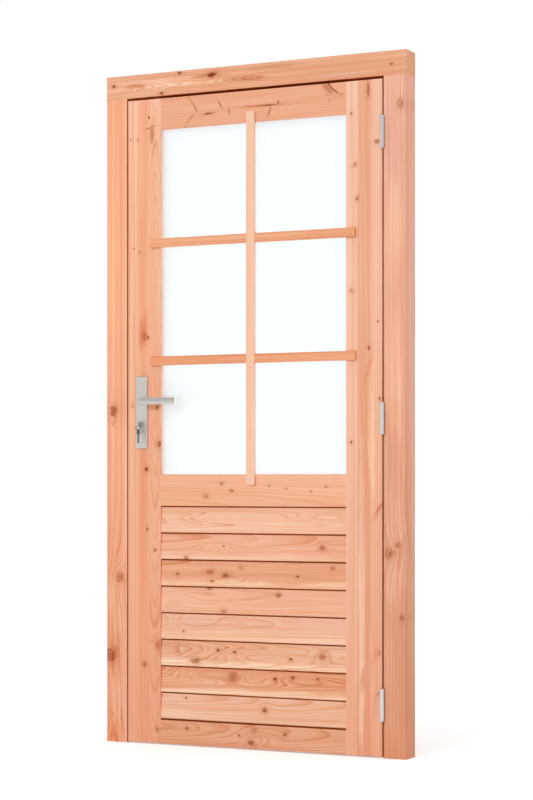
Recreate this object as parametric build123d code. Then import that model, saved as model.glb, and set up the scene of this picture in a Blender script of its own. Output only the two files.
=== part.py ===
from build123d import *
import os

# Outward-opening softwood door set: a rebated frame, and a leaf with one glazed light behind a planted
# grid of bars over a panel of lapped boards, hung on three butt hinges and closed by a mortise lock.
# X runs to the hinge side, Y to the inside and Z up. The origin is on the floor under the middle of the
# frame, on the leaf's mid-plane. All sizes are in millimetres.

# Frame timber
FRAME_WIDTH = 1020.0
FRAME_HEIGHT = 2100.0
FRAME_FACE = 73.0
FRAME_DEPTH = 70.0
STOP_WIDTH = 15.0
ARRIS = 1.5

# Leaf and the gaps round it
LEAF_THICKNESS = 40.0
SIDE_GAP = 4.0
TOP_GAP = 8.0
FLOOR_GAP = 4.0
STOP_GAP = 3.5
STILE = 117.0
TOP_RAIL = 98.0
LOCK_RAIL = 98.0
BOTTOM_RAIL = 78.0
DOWEL_RADIUS = 6.0
DOWEL_LENGTH = 110.0
DOWEL_EDGE = 21.0

# Boards of the lower panel
BOARD_COUNT = 8
BOARD_PITCH = 83.0
BOARD_SET_BACK = 1.0
BOARD_TAPER = 6.0
BOARD_SHADOW_GAP = 4.5
BOARD_LAP = 8.0
BOARD_ROUND = 3.5
TONGUE_THICKNESS = 8.0
TONGUE_FRONT = -6.0
BOARD_TENON = 10.0

# Glazing
GLASS_THICKNESS = 4.0
GLAZING_LIP = 5.0
GLAZING_REBATE = 24.0
GLASS_EDGE_GAP = 4.0
TAPE_THICKNESS = 1.0
TAPE_WIDTH = 10.0
BEAD_SET_BACK = 10.0
BEAD_CHAMFER = 6.0
BEAD_PIN_SPREAD = 0.42
BLOCK_LENGTH = 80.0
BAR_WIDTH = 28.0
BAR_THICKNESS = 10.0
BAR_OVERLAP = 33.0
BAR_ARRIS = 0.8
CROSS_BARS = 2
PIN_NAIL_RADIUS = 0.9
PIN_NAIL_LENGTH = 29.0

# Hinges
HINGE_LENGTH = 89.0
HINGE_PLATE = 2.5
HINGE_DEPTH = 32.0
HINGE_AXIS_OUT = 7.5
HINGE_FROM_TOP = 158.0
HINGE_FROM_BOTTOM = 155.0
KNUCKLES = 5
BARREL_RADIUS = 7.0
PIN_RADIUS = 3.0
CAP_RIM = 3.0
CAP_CONE = 4.0
CAP_TIP_RADIUS = 1.5

# Lock, measured from the floor and from the leaf's edge
LEVER_HEIGHT = 1072.0
BACKSET = 52.0
CYLINDER_DROP = 72.0
CASE_THICKNESS = 15.0
CASE_DEPTH = 82.0
CASE_ABOVE_LEVER = 55.0
CASE_BELOW_CYLINDER = 45.0
CASE_WALL = 1.5
FOREND_WIDTH = 20.0
FOREND_THICKNESS = 3.0
FOREND_LENGTH = 236.0
BOLT_THICKNESS = 11.0
LATCH_RISE = 30.0
LATCH_HEIGHT = 30.0
LATCH_THROW = 12.0
LATCH_BODY = 18.0
LATCH_SHAFT_HEIGHT = 14.0
LATCH_POST = 4.0
LATCH_POST_RISE = 12.0
DEAD_BOLT_DROP = 35.0
DEAD_BOLT_HEIGHT = 34.0
DEAD_BOLT_LENGTH = 40.0
DEAD_BOLT_TAIL = 35.0
DEAD_BOLT_TAIL_HEIGHT = 18.0
DEAD_BOLT_THROW = 20.0
STRIKE_THICKNESS = 2.0
STRIKE_FRONT = 16.0
STRIKE_BACK = 13.0
STRIKE_LENGTH = 144.0
POCKET_DEPTH = 20.0

# Follower, spindle and levers
SPINDLE = 8.0
FOLLOWER_RADIUS = 11.0
FOLLOWER_BOSS = 8.0
FOLLOWER_ARM = 17.0
FOLLOWER_ARM_WIDTH = 6.0
LEVER_LENGTH = 140.0
LEVER_BEND = 30.0
LEVER_REACH = 38.0
LEVER_GRIP_HEIGHT = 20.0
LEVER_GRIP_THICKNESS = 11.0
LEVER_FACET = 2.0
LEVER_BOSS_RADIUS = 9.0
LEVER_NECK = 10.0

# Long plates
PLATE_WIDTH = 40.0
PLATE_HEIGHT = 225.0
PLATE_THICKNESS = 8.0
PLATE_ABOVE_LEVER = 79.0
PLATE_EDGE = 1.5
PLATE_WALL = 3.0
PLATE_BOLT_INSET = 14.0
PLATE_BOLT_RADIUS = 2.5
PLATE_BOLT_HEAD = 4.8

# Profile cylinder and keys
CYLINDER_RADIUS = 8.5
CYLINDER_HEIGHT = 33.0
CYLINDER_FIN = 10.0
CYLINDER_PROUD = 2.0
PLUG_RADIUS = 6.5
CAM_RADIUS = 15.0
CAM_WIDTH = 10.0
CAM_FINGER = 8.0
KEYWAY_HEIGHT = 8.4
KEY_THICKNESS = 2.2
KEY_BLADE_HEIGHT = 8.0
KEY_BLADE_LENGTH = 22.0
KEY_NECK = 3.0
KEY_BOW_RADIUS = 10.0
KEY_HOLE_RADIUS = 2.0
KEY_HOLE_OFFSET = 6.0
RING_RADIUS = 8.2
RING_WIRE = 0.8

# Weather seal
SEAL_SLOT = 3.0
SEAL_SLOT_DEPTH = 6.0
SEAL_BULB = 8.0
SEAL_INSET = 8.0

# Fasteners
CORNER_SCREW_RADIUS = 3.0
CORNER_SCREW_HEAD = 6.0
CORNER_SCREW_LENGTH = 150.0
WOOD_SCREW_RADIUS = 2.0
WOOD_SCREW_HEAD = 4.0
WOOD_SCREW_LENGTH = 30.0
CYLINDER_SCREW_RADIUS = 2.5
CYLINDER_SCREW_HEAD = 4.5

# Clearances
FIT = 0.05
SLIDE = 0.2
GAP = 0.3

# Planes and lines worked out from the sizes above
FRONT = -LEAF_THICKNESS / 2
BACK = LEAF_THICKNESS / 2
STOP_FRONT = BACK + STOP_GAP
FRAME_BACK = FRONT + FRAME_DEPTH
FRAME_EDGE = FRAME_WIDTH / 2
REBATE_X = FRAME_EDGE - FRAME_FACE
STOP_X = REBATE_X - STOP_WIDTH
HEAD_UNDERSIDE = FRAME_HEIGHT - FRAME_FACE
STOP_UNDERSIDE = HEAD_UNDERSIDE - STOP_WIDTH
LEAF_EDGE = REBATE_X - SIDE_GAP
LEAF_TOP = HEAD_UNDERSIDE - TOP_GAP
INNER_EDGE = LEAF_EDGE - STILE
PANEL_BOTTOM = FLOOR_GAP + BOTTOM_RAIL
PANEL_TOP = PANEL_BOTTOM + BOARD_COUNT * BOARD_PITCH
LIGHT_BOTTOM = PANEL_TOP + LOCK_RAIL
LIGHT_TOP = LEAF_TOP - TOP_RAIL
REBATE_SIDE = INNER_EDGE + GLAZING_REBATE
REBATE_BOTTOM = LIGHT_BOTTOM - GLAZING_REBATE
REBATE_TOP = LIGHT_TOP + GLAZING_REBATE
BEAD_SIDE = INNER_EDGE + BEAD_SET_BACK
BEAD_BOTTOM = LIGHT_BOTTOM - BEAD_SET_BACK
BEAD_TOP = LIGHT_TOP + BEAD_SET_BACK
TAPE_FRONT = FRONT + GLAZING_LIP
GLASS_FRONT = TAPE_FRONT + TAPE_THICKNESS
GLASS_BACK = GLASS_FRONT + GLASS_THICKNESS
GLASS_SIDE = REBATE_SIDE - GLASS_EDGE_GAP
GLASS_BOTTOM = REBATE_BOTTOM + GLASS_EDGE_GAP
GLASS_TOP = REBATE_TOP - GLASS_EDGE_GAP
TONGUE_BACK = TONGUE_FRONT + TONGUE_THICKNESS
HINGE_X = REBATE_X - SIDE_GAP / 2
HINGE_Y = FRONT - HINGE_AXIS_OUT
HINGE_HEIGHTS = {
    "top": LEAF_TOP - HINGE_FROM_TOP,
    "middle": (LEAF_TOP - HINGE_FROM_TOP + FLOOR_GAP + HINGE_FROM_BOTTOM) / 2,
    "bottom": FLOOR_GAP + HINGE_FROM_BOTTOM,
}
LOCK_X = BACKSET - LEAF_EDGE
CYLINDER_Z = LEVER_HEIGHT - CYLINDER_DROP
LATCH_Z = LEVER_HEIGHT + LATCH_RISE
DEAD_BOLT_Z = LEVER_HEIGHT - DEAD_BOLT_DROP
CASE_FRONT = FOREND_THICKNESS - LEAF_EDGE
CASE_BACK = CASE_FRONT + CASE_DEPTH
CASE_TOP = LEVER_HEIGHT + CASE_ABOVE_LEVER
CASE_BOTTOM = CYLINDER_Z - CASE_BELOW_CYLINDER
FOREND_Z = (CASE_TOP + CASE_BOTTOM) / 2
STRIKE_Z = (LATCH_Z + DEAD_BOLT_Z) / 2
PLATE_TOP = LEVER_HEIGHT + PLATE_ABOVE_LEVER
PLATE_BOTTOM = PLATE_TOP - PLATE_HEIGHT
PLATE_FACE = LEAF_THICKNESS / 2 + PLATE_THICKNESS
CYLINDER_END = PLATE_FACE + CYLINDER_PROUD
FIN_CENTRE_Z = CYLINDER_Z + CYLINDER_RADIUS - CYLINDER_HEIGHT + CYLINDER_FIN / 2
BASE = (Align.CENTER, Align.CENTER, Align.MIN)


def block(x, y, z):
    """Box between a low and a high value on each axis."""
    centre = [(low + high) / 2 for low, high in (x, y, z)]
    return Pos(*centre) * Box(x[1] - x[0], y[1] - y[0], z[1] - z[0])


def prism(plane, points, start, length, rounds=(), radius=0.0):
    """Outline on a plane, set off along its normal and drawn out, with some of its corners rounded."""
    outline = make_face(Polyline(*points, close=True))
    for point in rounds:
        corner = outline.vertices().sort_by_distance((point[0], point[1], 0))[0]
        outline = fillet(corner, radius)
    return extrude(plane.offset(start) * outline, length, dir=plane.z_dir)


def rod(start, axis, radius, length):
    """Cylinder from a point along an axis."""
    return Plane(origin=start, z_dir=axis) * Cylinder(radius, length, align=BASE)


def turned(start, axis, points):
    """Half outline of (radius, distance) points, turned round the axis through the start."""
    outline = make_face(Plane.XZ * Polyline(*points, close=True))
    return Plane(origin=start, z_dir=axis) * revolve(outline, Axis.Z)


def screw(start, axis, radius, head, length, grow=0.0):
    """Countersunk screw from the middle of its head; grown, it is its own hole."""
    shank = radius + grow
    rim = head + grow
    points = [(0, 0), (rim, 0), (shank, rim - shank), (shank, length - radius), (0, length + grow)]
    return turned(start, axis, points)


def cut(body, tools):
    """Body with a list of tools taken out of it."""
    for tool in tools:
        body -= tool
    return body


def both_sides(solid):
    """A solid and its mirror image on the other side of the middle of the door."""
    return [solid, mirror(solid, about=Plane.YZ)]


def to_back(solid):
    """Mirror image on the other face of the leaf."""
    return mirror(solid, about=Plane.XZ)


# Frame: two rebated jambs under a full-width head, screwed together from above


def corner_screws(grow=0.0):
    """Two long screws down through the head into each jamb."""
    x = FRAME_EDGE - FRAME_FACE / 2
    rows = (0.0, FRAME_BACK / 2 + BACK / 2)
    screws = []
    for y in rows:
        one = screw((x, y, FRAME_HEIGHT), (0, 0, -1), CORNER_SCREW_RADIUS, CORNER_SCREW_HEAD,
                    CORNER_SCREW_LENGTH, grow)
        screws += both_sides(one)
    return screws


def seal_path(half_width, front, depth, end):
    """Strip of one width and depth, round the stop: up both sides and across the head."""
    x = STOP_X + SEAL_INSET
    z = STOP_UNDERSIDE + SEAL_INSET / 2
    y = (front, front + depth)
    side = block((x - half_width, x + half_width), y, (end, z + half_width))
    across = block((-x, x), y, (z - half_width, z + half_width))
    return across + both_sides(side)


def weather_seal():
    """Rubber strip: a stem in the stop's groove under a rounded lip that meets the leaf's back."""
    stem = seal_path(SEAL_SLOT / 2 - FIT, STOP_FRONT, SEAL_SLOT_DEPTH - GAP, FLOOR_GAP)
    lip_height = STOP_GAP - GAP
    lip = seal_path(SEAL_BULB / 2, STOP_FRONT - lip_height, lip_height, FLOOR_GAP)
    front_edges = lip.edges().filter_by_position(Axis.Y, BACK, BACK + GAP + FIT)
    lip = chamfer(front_edges, lip_height / 2)
    return lip + stem


def seal_groove():
    """Groove in the stop for the seal's stem."""
    return seal_path(SEAL_SLOT / 2, STOP_FRONT, SEAL_SLOT_DEPTH, 0.0)


def jamb():
    """Right-hand jamb: a post with a rebate for the leaf, eased on its long edges."""
    points = [(REBATE_X, FRONT), (FRAME_EDGE, FRONT), (FRAME_EDGE, FRAME_BACK), (STOP_X, FRAME_BACK),
              (STOP_X, STOP_FRONT), (REBATE_X, STOP_FRONT)]
    return prism(Plane.XY, points, 0.0, HEAD_UNDERSIDE, points[:5], ARRIS)


def right_jamb():
    """Hinge jamb, let in for the three hinges."""
    tools = [seal_groove()] + corner_screws(FIT) + hinge_screws("jamb", FIT)
    for height in HINGE_HEIGHTS.values():
        tools.append(hinge_plate("jamb", height))
    return cut(jamb(), tools)


def left_jamb():
    """Lock jamb, let in and pocketed for the strike plate."""
    tools = [seal_groove()] + corner_screws(FIT) + strike_screws(FIT) + strike_pockets(POCKET_DEPTH)
    tools.append(strike_blank())
    return cut(mirror(jamb(), about=Plane.YZ), tools)


def head():
    """Full-width head; its stop runs between the jambs' stops."""
    points = [(FRONT, HEAD_UNDERSIDE), (FRAME_BACK, HEAD_UNDERSIDE), (FRAME_BACK, FRAME_HEIGHT),
              (FRONT, FRAME_HEIGHT)]
    beam = prism(Plane.YZ, points, -FRAME_EDGE, FRAME_WIDTH, (points[0], points[2], points[3]), ARRIS)
    stop = block((-STOP_X, STOP_X), (STOP_FRONT, FRAME_BACK), (STOP_UNDERSIDE, HEAD_UNDERSIDE))
    return cut(beam + stop, [seal_groove()] + corner_screws(FIT))


# Hinges: each a plate with knuckles on the jamb, one on the door, and a pin with pointed caps


def hinge_span(carrier):
    """X range of a hinge plate let into the jamb or into the leaf's edge."""
    if carrier == "jamb":
        return (REBATE_X, REBATE_X + HINGE_PLATE)
    return (LEAF_EDGE - HINGE_PLATE, LEAF_EDGE)


def hinge_plate(carrier, height):
    """Flat part of a hinge leaf, which is also its recess in the wood."""
    z = (height - HINGE_LENGTH / 2, height + HINGE_LENGTH / 2)
    return block(hinge_span(carrier), (FRONT, FRONT + HINGE_DEPTH), z)


def hinge_leaf(carrier, height):
    """Plate with every second knuckle rolled round the pin, and its screw holes."""
    leaf = hinge_plate(carrier, height)
    pitch = HINGE_LENGTH / KNUCKLES
    first = 0 if carrier == "jamb" else 1
    bottom = height - HINGE_LENGTH / 2
    for index in range(first, KNUCKLES, 2):
        z = (bottom + index * pitch + SLIDE / 2, bottom + (index + 1) * pitch - SLIDE / 2)
        leaf += block(hinge_span(carrier), (HINGE_Y, FRONT), z)
        leaf += rod((HINGE_X, HINGE_Y, z[0]), (0, 0, 1), BARREL_RADIUS, z[1] - z[0])
    leaf -= rod((HINGE_X, HINGE_Y, bottom), (0, 0, 1), PIN_RADIUS + FIT, HINGE_LENGTH)
    return cut(leaf, hinge_screws(carrier, FIT))


def hinge_pin(height):
    """Pin through the knuckles, closed at both ends by a rimmed cone."""
    half = HINGE_LENGTH / 2
    outline = [(0, half + CAP_RIM + CAP_CONE), (CAP_TIP_RADIUS, half + CAP_RIM + CAP_CONE),
               (BARREL_RADIUS, half + CAP_RIM), (BARREL_RADIUS, half + FIT), (PIN_RADIUS, half + FIT)]
    lower = [(radius, -distance) for radius, distance in reversed(outline)]
    return turned((HINGE_X, HINGE_Y, height), (0, 0, 1), outline + lower)


def hinge_screws(carrier, grow=0.0):
    """Three staggered screws through each hinge plate on one carrier."""
    start, axis = (REBATE_X, 1) if carrier == "jamb" else (LEAF_EDGE, -1)
    screws = []
    for height in HINGE_HEIGHTS.values():
        for row, side in ((-1, 1), (0, -1), (1, 1)):
            y = FRONT + HINGE_DEPTH / 2 + side * HINGE_DEPTH / 6
            z = height + row * HINGE_LENGTH / 3
            screws.append(screw((start, y, z), (axis, 0, 0), WOOD_SCREW_RADIUS, WOOD_SCREW_HEAD,
                                WOOD_SCREW_LENGTH, grow))
    return screws


# Strike plate in the lock jamb


def strike_blank():
    """Flat plate before it is punched, which is also its recess."""
    z = (STRIKE_Z - STRIKE_LENGTH / 2, STRIKE_Z + STRIKE_LENGTH / 2)
    return block((-REBATE_X - STRIKE_THICKNESS, -REBATE_X), (-STRIKE_FRONT, STRIKE_BACK), z)


def strike_pockets(depth):
    """Room for the latch and the dead bolt behind the strike plate."""
    reach = SIDE_GAP + STRIKE_THICKNESS
    half_y = BOLT_THICKNESS / 2 + 1.0
    pockets = []
    for z, height in ((LATCH_Z, LATCH_HEIGHT), (DEAD_BOLT_Z, DEAD_BOLT_HEIGHT)):
        half_z = height / 2 + 1.0
        pockets.append(block((-REBATE_X - depth, -REBATE_X + reach), (-half_y, half_y),
                             (z - half_z, z + half_z)))
    return pockets


def strike_screws(grow=0.0):
    """Screws at both ends and between the two holes of the strike plate."""
    inset = WOOD_SCREW_HEAD * 2.5
    between = (LATCH_Z - LATCH_HEIGHT / 2 + DEAD_BOLT_Z + DEAD_BOLT_HEIGHT / 2) / 2
    heights = (STRIKE_Z - STRIKE_LENGTH / 2 + inset, between, STRIKE_Z + STRIKE_LENGTH / 2 - inset)
    return [screw((-REBATE_X, 0, z), (-1, 0, 0), WOOD_SCREW_RADIUS, WOOD_SCREW_HEAD, WOOD_SCREW_LENGTH, grow)
            for z in heights]


def strike_plate():
    """Steel plate with a hole for the latch and one for the dead bolt."""
    blank = strike_blank()
    blank = fillet(blank.edges().filter_by(Axis.X), WOOD_SCREW_HEAD)
    return cut(blank, strike_pockets(POCKET_DEPTH) + strike_screws(FIT))


# Leaf timber: stiles and rails joined by dowels


def dowels(grow=0.0):
    """Two dowels in each joint of a rail with a stile."""
    rails = (
        (FLOOR_GAP + DOWEL_EDGE, PANEL_BOTTOM - BOARD_SHADOW_GAP - DOWEL_EDGE),
        (PANEL_TOP + BOARD_LAP + DOWEL_EDGE, REBATE_BOTTOM - DOWEL_EDGE / 2 - DOWEL_RADIUS),
        (REBATE_TOP + DOWEL_EDGE, LEAF_TOP - DOWEL_EDGE),
    )
    start = INNER_EDGE - DOWEL_LENGTH / 2 - grow
    pegs = []
    for pair in rails:
        for z in pair:
            peg = rod((start, 0, z), (1, 0, 0), DOWEL_RADIUS + grow, DOWEL_LENGTH + 2 * grow)
            pegs += both_sides(peg)
    return pegs


def glazing_rebate():
    """Room cut from the inside for the pane and its beads."""
    return block((-REBATE_SIDE, REBATE_SIDE), (TAPE_FRONT, BACK), (REBATE_BOTTOM, REBATE_TOP))


def board_groove():
    """Groove in both stiles for the boards' tenons."""
    depth = INNER_EDGE + BOARD_TENON + SLIDE
    return block((-depth, depth), (TONGUE_FRONT - FIT, TONGUE_BACK + FIT),
                 (PANEL_BOTTOM, PANEL_TOP + BOARD_LAP + SLIDE))


def stile():
    """Full-height right stile with its outer edges eased."""
    points = [(INNER_EDGE, FRONT), (LEAF_EDGE, FRONT), (LEAF_EDGE, BACK), (INNER_EDGE, BACK)]
    post = prism(Plane.XY, points, FLOOR_GAP, LEAF_TOP - FLOOR_GAP, points[1:3], ARRIS)
    return cut(post, [glazing_rebate(), board_groove()] + dowels(FIT) + panel_pins(FIT))


def right_stile():
    """Hinge stile, let in for the three hinges."""
    tools = [hinge_plate("door", height) for height in HINGE_HEIGHTS.values()]
    return cut(stile(), tools + hinge_screws("door", FIT))


def left_stile():
    """Lock stile, mortised for the lock and drilled for spindle, cylinder and plate bolts."""
    tools = [case_blank(SLIDE), forend_blank(), spindle_hole()] + forend_screws(FIT)
    tools += [cylinder_outline(GAP, -CYLINDER_END, CYLINDER_END)] + plate_bolts(GAP)
    return cut(mirror(stile(), about=Plane.YZ), tools)


def rail(outline):
    """Rail of a given section between the stiles."""
    beam = prism(Plane.YZ, outline, -INNER_EDGE, 2 * INNER_EDGE)
    return cut(beam, [glazing_rebate()] + dowels(FIT) + panel_pins(FIT))


def top_rail():
    """Rail over the glass."""
    return rail([(FRONT, LIGHT_TOP), (BACK, LIGHT_TOP), (BACK, LEAF_TOP), (FRONT, LEAF_TOP)])


def lock_rail():
    """Rail between glass and boards, grooved underneath for the top board's tongue."""
    groove_top = PANEL_TOP + BOARD_LAP + SLIDE
    front = TONGUE_FRONT - SLIDE
    back = TONGUE_BACK + SLIDE
    return rail([(FRONT, PANEL_TOP), (front, PANEL_TOP), (front, groove_top), (back, groove_top),
                 (back, PANEL_TOP), (BACK, PANEL_TOP), (BACK, LIGHT_BOTTOM), (FRONT, LIGHT_BOTTOM)])


def bottom_rail():
    """Rail under the boards, with a tongue that the lowest board laps."""
    shoulder = PANEL_BOTTOM - BOARD_SHADOW_GAP
    tongue_top = PANEL_BOTTOM + BOARD_LAP
    return rail([(FRONT, FLOOR_GAP), (BACK, FLOOR_GAP), (BACK, PANEL_BOTTOM), (TONGUE_BACK, PANEL_BOTTOM),
                 (TONGUE_BACK, tongue_top), (TONGUE_FRONT, tongue_top), (TONGUE_FRONT, shoulder),
                 (FRONT, shoulder)])


def board(index):
    """Tapered board, thick at its rounded lower lip, whose lip hangs over the tongue of the next one."""
    bottom = PANEL_TOP - index * BOARD_PITCH
    top = bottom + BOARD_PITCH
    lip_front = FRONT + BOARD_SET_BACK
    face_top = (lip_front + BOARD_TAPER, top - BOARD_SHADOW_GAP)
    lip_back = TONGUE_FRONT - SLIDE
    rebate = bottom + BOARD_LAP + 2 * SLIDE
    tongue_top = top + BOARD_LAP
    outline = [(lip_front, bottom), (lip_back, bottom), (lip_back, rebate), (TONGUE_BACK, rebate),
               (TONGUE_BACK, tongue_top), (TONGUE_FRONT, tongue_top), (TONGUE_FRONT, face_top[1]), face_top]
    face = prism(Plane.YZ, outline, -INNER_EDGE, 2 * INNER_EDGE, (outline[0],), BOARD_ROUND)
    reach = INNER_EDGE + BOARD_TENON
    tenon = block((-reach, reach), (TONGUE_FRONT, TONGUE_BACK), (rebate, tongue_top))
    return face + tenon


# Glazing: pane on setting blocks, tape in front, beads behind


def glass_pane():
    """Single pane."""
    return block((-GLASS_SIDE, GLASS_SIDE), (GLASS_FRONT, GLASS_BACK), (GLASS_BOTTOM, GLASS_TOP))


def glazing_tape():
    """Thin tape round the pane, between it and the lip of the rebate."""
    outer = block((-GLASS_SIDE, GLASS_SIDE), (TAPE_FRONT, GLASS_FRONT), (GLASS_BOTTOM, GLASS_TOP))
    side = GLASS_SIDE - TAPE_WIDTH
    return outer - block((-side, side), (TAPE_FRONT, GLASS_FRONT),
                         (GLASS_BOTTOM + TAPE_WIDTH, GLASS_TOP - TAPE_WIDTH))


def setting_blocks():
    """Two blocks that carry the pane's weight on the rebate."""
    one = block((GLASS_SIDE / 2, GLASS_SIDE / 2 + BLOCK_LENGTH), (GLASS_FRONT, GLASS_BACK),
                (REBATE_BOTTOM, GLASS_BOTTOM))
    return both_sides(one)


def bead(inner, outer):
    """Mitred bead between its two inner corners and two of the rebate, chamfered on its inner edge."""
    start = GLASS_BACK + GAP
    strip = prism(Plane.XZ, [inner[0], inner[1], outer[1], outer[0]], -BACK, BACK - start)
    middle = Vector((inner[0][0] + inner[1][0]) / 2, BACK, (inner[0][1] + inner[1][1]) / 2)
    strip = chamfer(strip.edges().sort_by_distance(middle)[0], BEAD_CHAMFER)
    return cut(strip, panel_pins(FIT))


def beads():
    """Four beads, mitred at the corners, that hold the pane from the inside, back from the light's edges."""
    low = [(-BEAD_SIDE, BEAD_BOTTOM), (BEAD_SIDE, BEAD_BOTTOM)]
    high = [(-BEAD_SIDE, BEAD_TOP), (BEAD_SIDE, BEAD_TOP)]
    low_out = [(-REBATE_SIDE, REBATE_BOTTOM), (REBATE_SIDE, REBATE_BOTTOM)]
    high_out = [(-REBATE_SIDE, REBATE_TOP), (REBATE_SIDE, REBATE_TOP)]
    return {
        "bottom_bead": bead(low, low_out),
        "top_bead": bead(high, high_out),
        "left_bead": bead((low[0], high[0]), (low_out[0], high_out[0])),
        "right_bead": bead((low[1], high[1]), (low_out[1], high_out[1])),
    }


def cross_bar_heights():
    """Heights of the cross bars' middles, which leave panes of one height."""
    pane = (LIGHT_TOP - LIGHT_BOTTOM - CROSS_BARS * BAR_WIDTH) / (CROSS_BARS + 1)
    return [LIGHT_BOTTOM + (index + 1) * (pane + BAR_WIDTH) - BAR_WIDTH / 2 for index in range(CROSS_BARS)]


def bar(x, z):
    """Planted bar on the leaf's face, with its front edges eased."""
    strip = block(x, (FRONT - BAR_THICKNESS, FRONT), z)
    long_axis = Axis.X if x[1] - x[0] > z[1] - z[0] else Axis.Z
    front_edges = strip.edges().filter_by(long_axis).sort_by(Axis.Y)[:2]
    return fillet(front_edges, BAR_ARRIS)


def upright_bar():
    """Continuous upright, notched behind for the cross bars."""
    strip = bar((-BAR_WIDTH / 2, BAR_WIDTH / 2), (LIGHT_BOTTOM - BAR_OVERLAP, LIGHT_TOP + BAR_OVERLAP))
    for height in cross_bar_heights():
        strip -= block((-BAR_WIDTH / 2, BAR_WIDTH / 2), (FRONT - BAR_THICKNESS / 2, FRONT),
                       (height - BAR_WIDTH / 2, height + BAR_WIDTH / 2))
    return cut(strip, panel_pins(FIT))


def cross_bar(height):
    """Cross bar, notched in front where the upright passes over it."""
    reach = INNER_EDGE + BAR_OVERLAP
    z = (height - BAR_WIDTH / 2, height + BAR_WIDTH / 2)
    notch = block((-BAR_WIDTH / 2, BAR_WIDTH / 2), (FRONT - BAR_THICKNESS, FRONT - BAR_THICKNESS / 2), z)
    return cut(bar((-reach, reach), z), [notch] + panel_pins(FIT))


def panel_pins(grow=0.0):
    """Headless pins: two in each end of a bar, and three along each bead."""
    spots = []
    step = BAR_WIDTH / 4
    beyond = (BAR_OVERLAP - GLAZING_REBATE) / 2
    start = FRONT - BAR_THICKNESS + BAR_ARRIS
    for side in (-step, step):
        spots.append(((side, start, REBATE_TOP + beyond), (0, 1, 0)))
        spots.append(((side, start, REBATE_BOTTOM - beyond), (0, 1, 0)))
        for height in cross_bar_heights():
            for end in (-1, 1):
                spots.append(((end * (REBATE_SIDE + beyond), start, height + side), (0, 1, 0)))
    y = (GLASS_BACK + BACK - BEAD_CHAMFER) / 2
    light = LIGHT_TOP - LIGHT_BOTTOM
    for share in (-BEAD_PIN_SPREAD, 0.0, BEAD_PIN_SPREAD):
        x = share * (2 * INNER_EDGE - DOWEL_LENGTH)
        z = (LIGHT_TOP + LIGHT_BOTTOM) / 2 + share * light
        spots.append(((x, y, BEAD_BOTTOM - BAR_ARRIS), (0, 0, -1)))
        spots.append(((x, y, BEAD_TOP + BAR_ARRIS), (0, 0, 1)))
        for end in (-1, 1):
            spots.append(((end * (BEAD_SIDE + BAR_ARRIS), y, z), (end, 0, 0)))
    return [rod(start, axis, PIN_NAIL_RADIUS + grow, PIN_NAIL_LENGTH + grow) for start, axis in spots]


# Mortise lock: case, forend, follower, latch bolt and dead bolt


def case_blank(grow=0.0):
    """Outside of the lock case, which grown is its mortise."""
    half = CASE_THICKNESS / 2 + grow
    return block((CASE_FRONT, CASE_BACK + grow), (-half, half), (CASE_BOTTOM - grow, CASE_TOP + grow))


def forend_blank():
    """Round-ended strip in the leaf's edge."""
    half = FOREND_WIDTH / 2
    strip = block((-LEAF_EDGE, CASE_FRONT), (-half, half),
                  (FOREND_Z - FOREND_LENGTH / 2, FOREND_Z + FOREND_LENGTH / 2))
    return fillet(strip.edges().filter_by(Axis.X), half - FIT)


def bolt_slots():
    """Openings for the two bolts through the forend and the case's front wall."""
    half_y = BOLT_THICKNESS / 2 + SLIDE
    x = (-LEAF_EDGE, CASE_FRONT + CASE_WALL)
    slots = []
    for z, height in ((LATCH_Z, LATCH_HEIGHT), (DEAD_BOLT_Z, DEAD_BOLT_HEIGHT)):
        half_z = height / 2 + SLIDE
        slots.append(block(x, (-half_y, half_y), (z - half_z, z + half_z)))
    return slots


def forend_screws(grow=0.0):
    """Screws at both ends of the forend."""
    reach = FOREND_LENGTH / 2 - FOREND_WIDTH / 2
    return [screw((-LEAF_EDGE, 0, z), (1, 0, 0), WOOD_SCREW_RADIUS, WOOD_SCREW_HEAD, WOOD_SCREW_LENGTH, grow)
            for z in (FOREND_Z - reach, FOREND_Z + reach)]


def cylinder_screw(grow=0.0):
    """Long screw through the forend into the cylinder's fin."""
    return screw((-LEAF_EDGE, 0, FIN_CENTRE_Z), (1, 0, 0), CYLINDER_SCREW_RADIUS, CYLINDER_SCREW_HEAD,
                 BACKSET + CYLINDER_FIN / 4, grow)


def lock_forend():
    """Forend with its slots and screw holes."""
    return cut(forend_blank(), bolt_slots() + forend_screws(FIT) + [cylinder_screw(FIT)])


def lock_case():
    """Thin-walled case, open where bolts, follower and cylinder pass."""
    half = CASE_THICKNESS / 2 - CASE_WALL
    hollow = block((CASE_FRONT + CASE_WALL, CASE_BACK - CASE_WALL), (-half, half),
                   (CASE_BOTTOM + CASE_WALL, CASE_TOP - CASE_WALL))
    bearing = rod((LOCK_X, -CASE_THICKNESS, LEVER_HEIGHT), (0, 1, 0), FOLLOWER_BOSS + FIT,
                  2 * CASE_THICKNESS)
    tools = [hollow, bearing, cylinder_outline(SLIDE, -CASE_THICKNESS, CASE_THICKNESS), cylinder_screw(FIT)]
    return cut(case_blank(), tools + bolt_slots())


def follower():
    """Square-holed hub with a bearing at each side and an arm that draws the latch."""
    hub_half = CASE_THICKNESS / 2 - CASE_WALL - SLIDE
    hub = rod((LOCK_X, -hub_half, LEVER_HEIGHT), (0, 1, 0), FOLLOWER_RADIUS, 2 * hub_half)
    hub += rod((LOCK_X, -CASE_THICKNESS / 2, LEVER_HEIGHT), (0, 1, 0), FOLLOWER_BOSS, CASE_THICKNESS)
    hub += block((LOCK_X - FOLLOWER_ARM_WIDTH / 2, LOCK_X + FOLLOWER_ARM_WIDTH / 2), (-hub_half, hub_half),
                 (LEVER_HEIGHT + FOLLOWER_BOSS, LEVER_HEIGHT + FOLLOWER_ARM))
    return hub - spindle(FIT)


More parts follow.
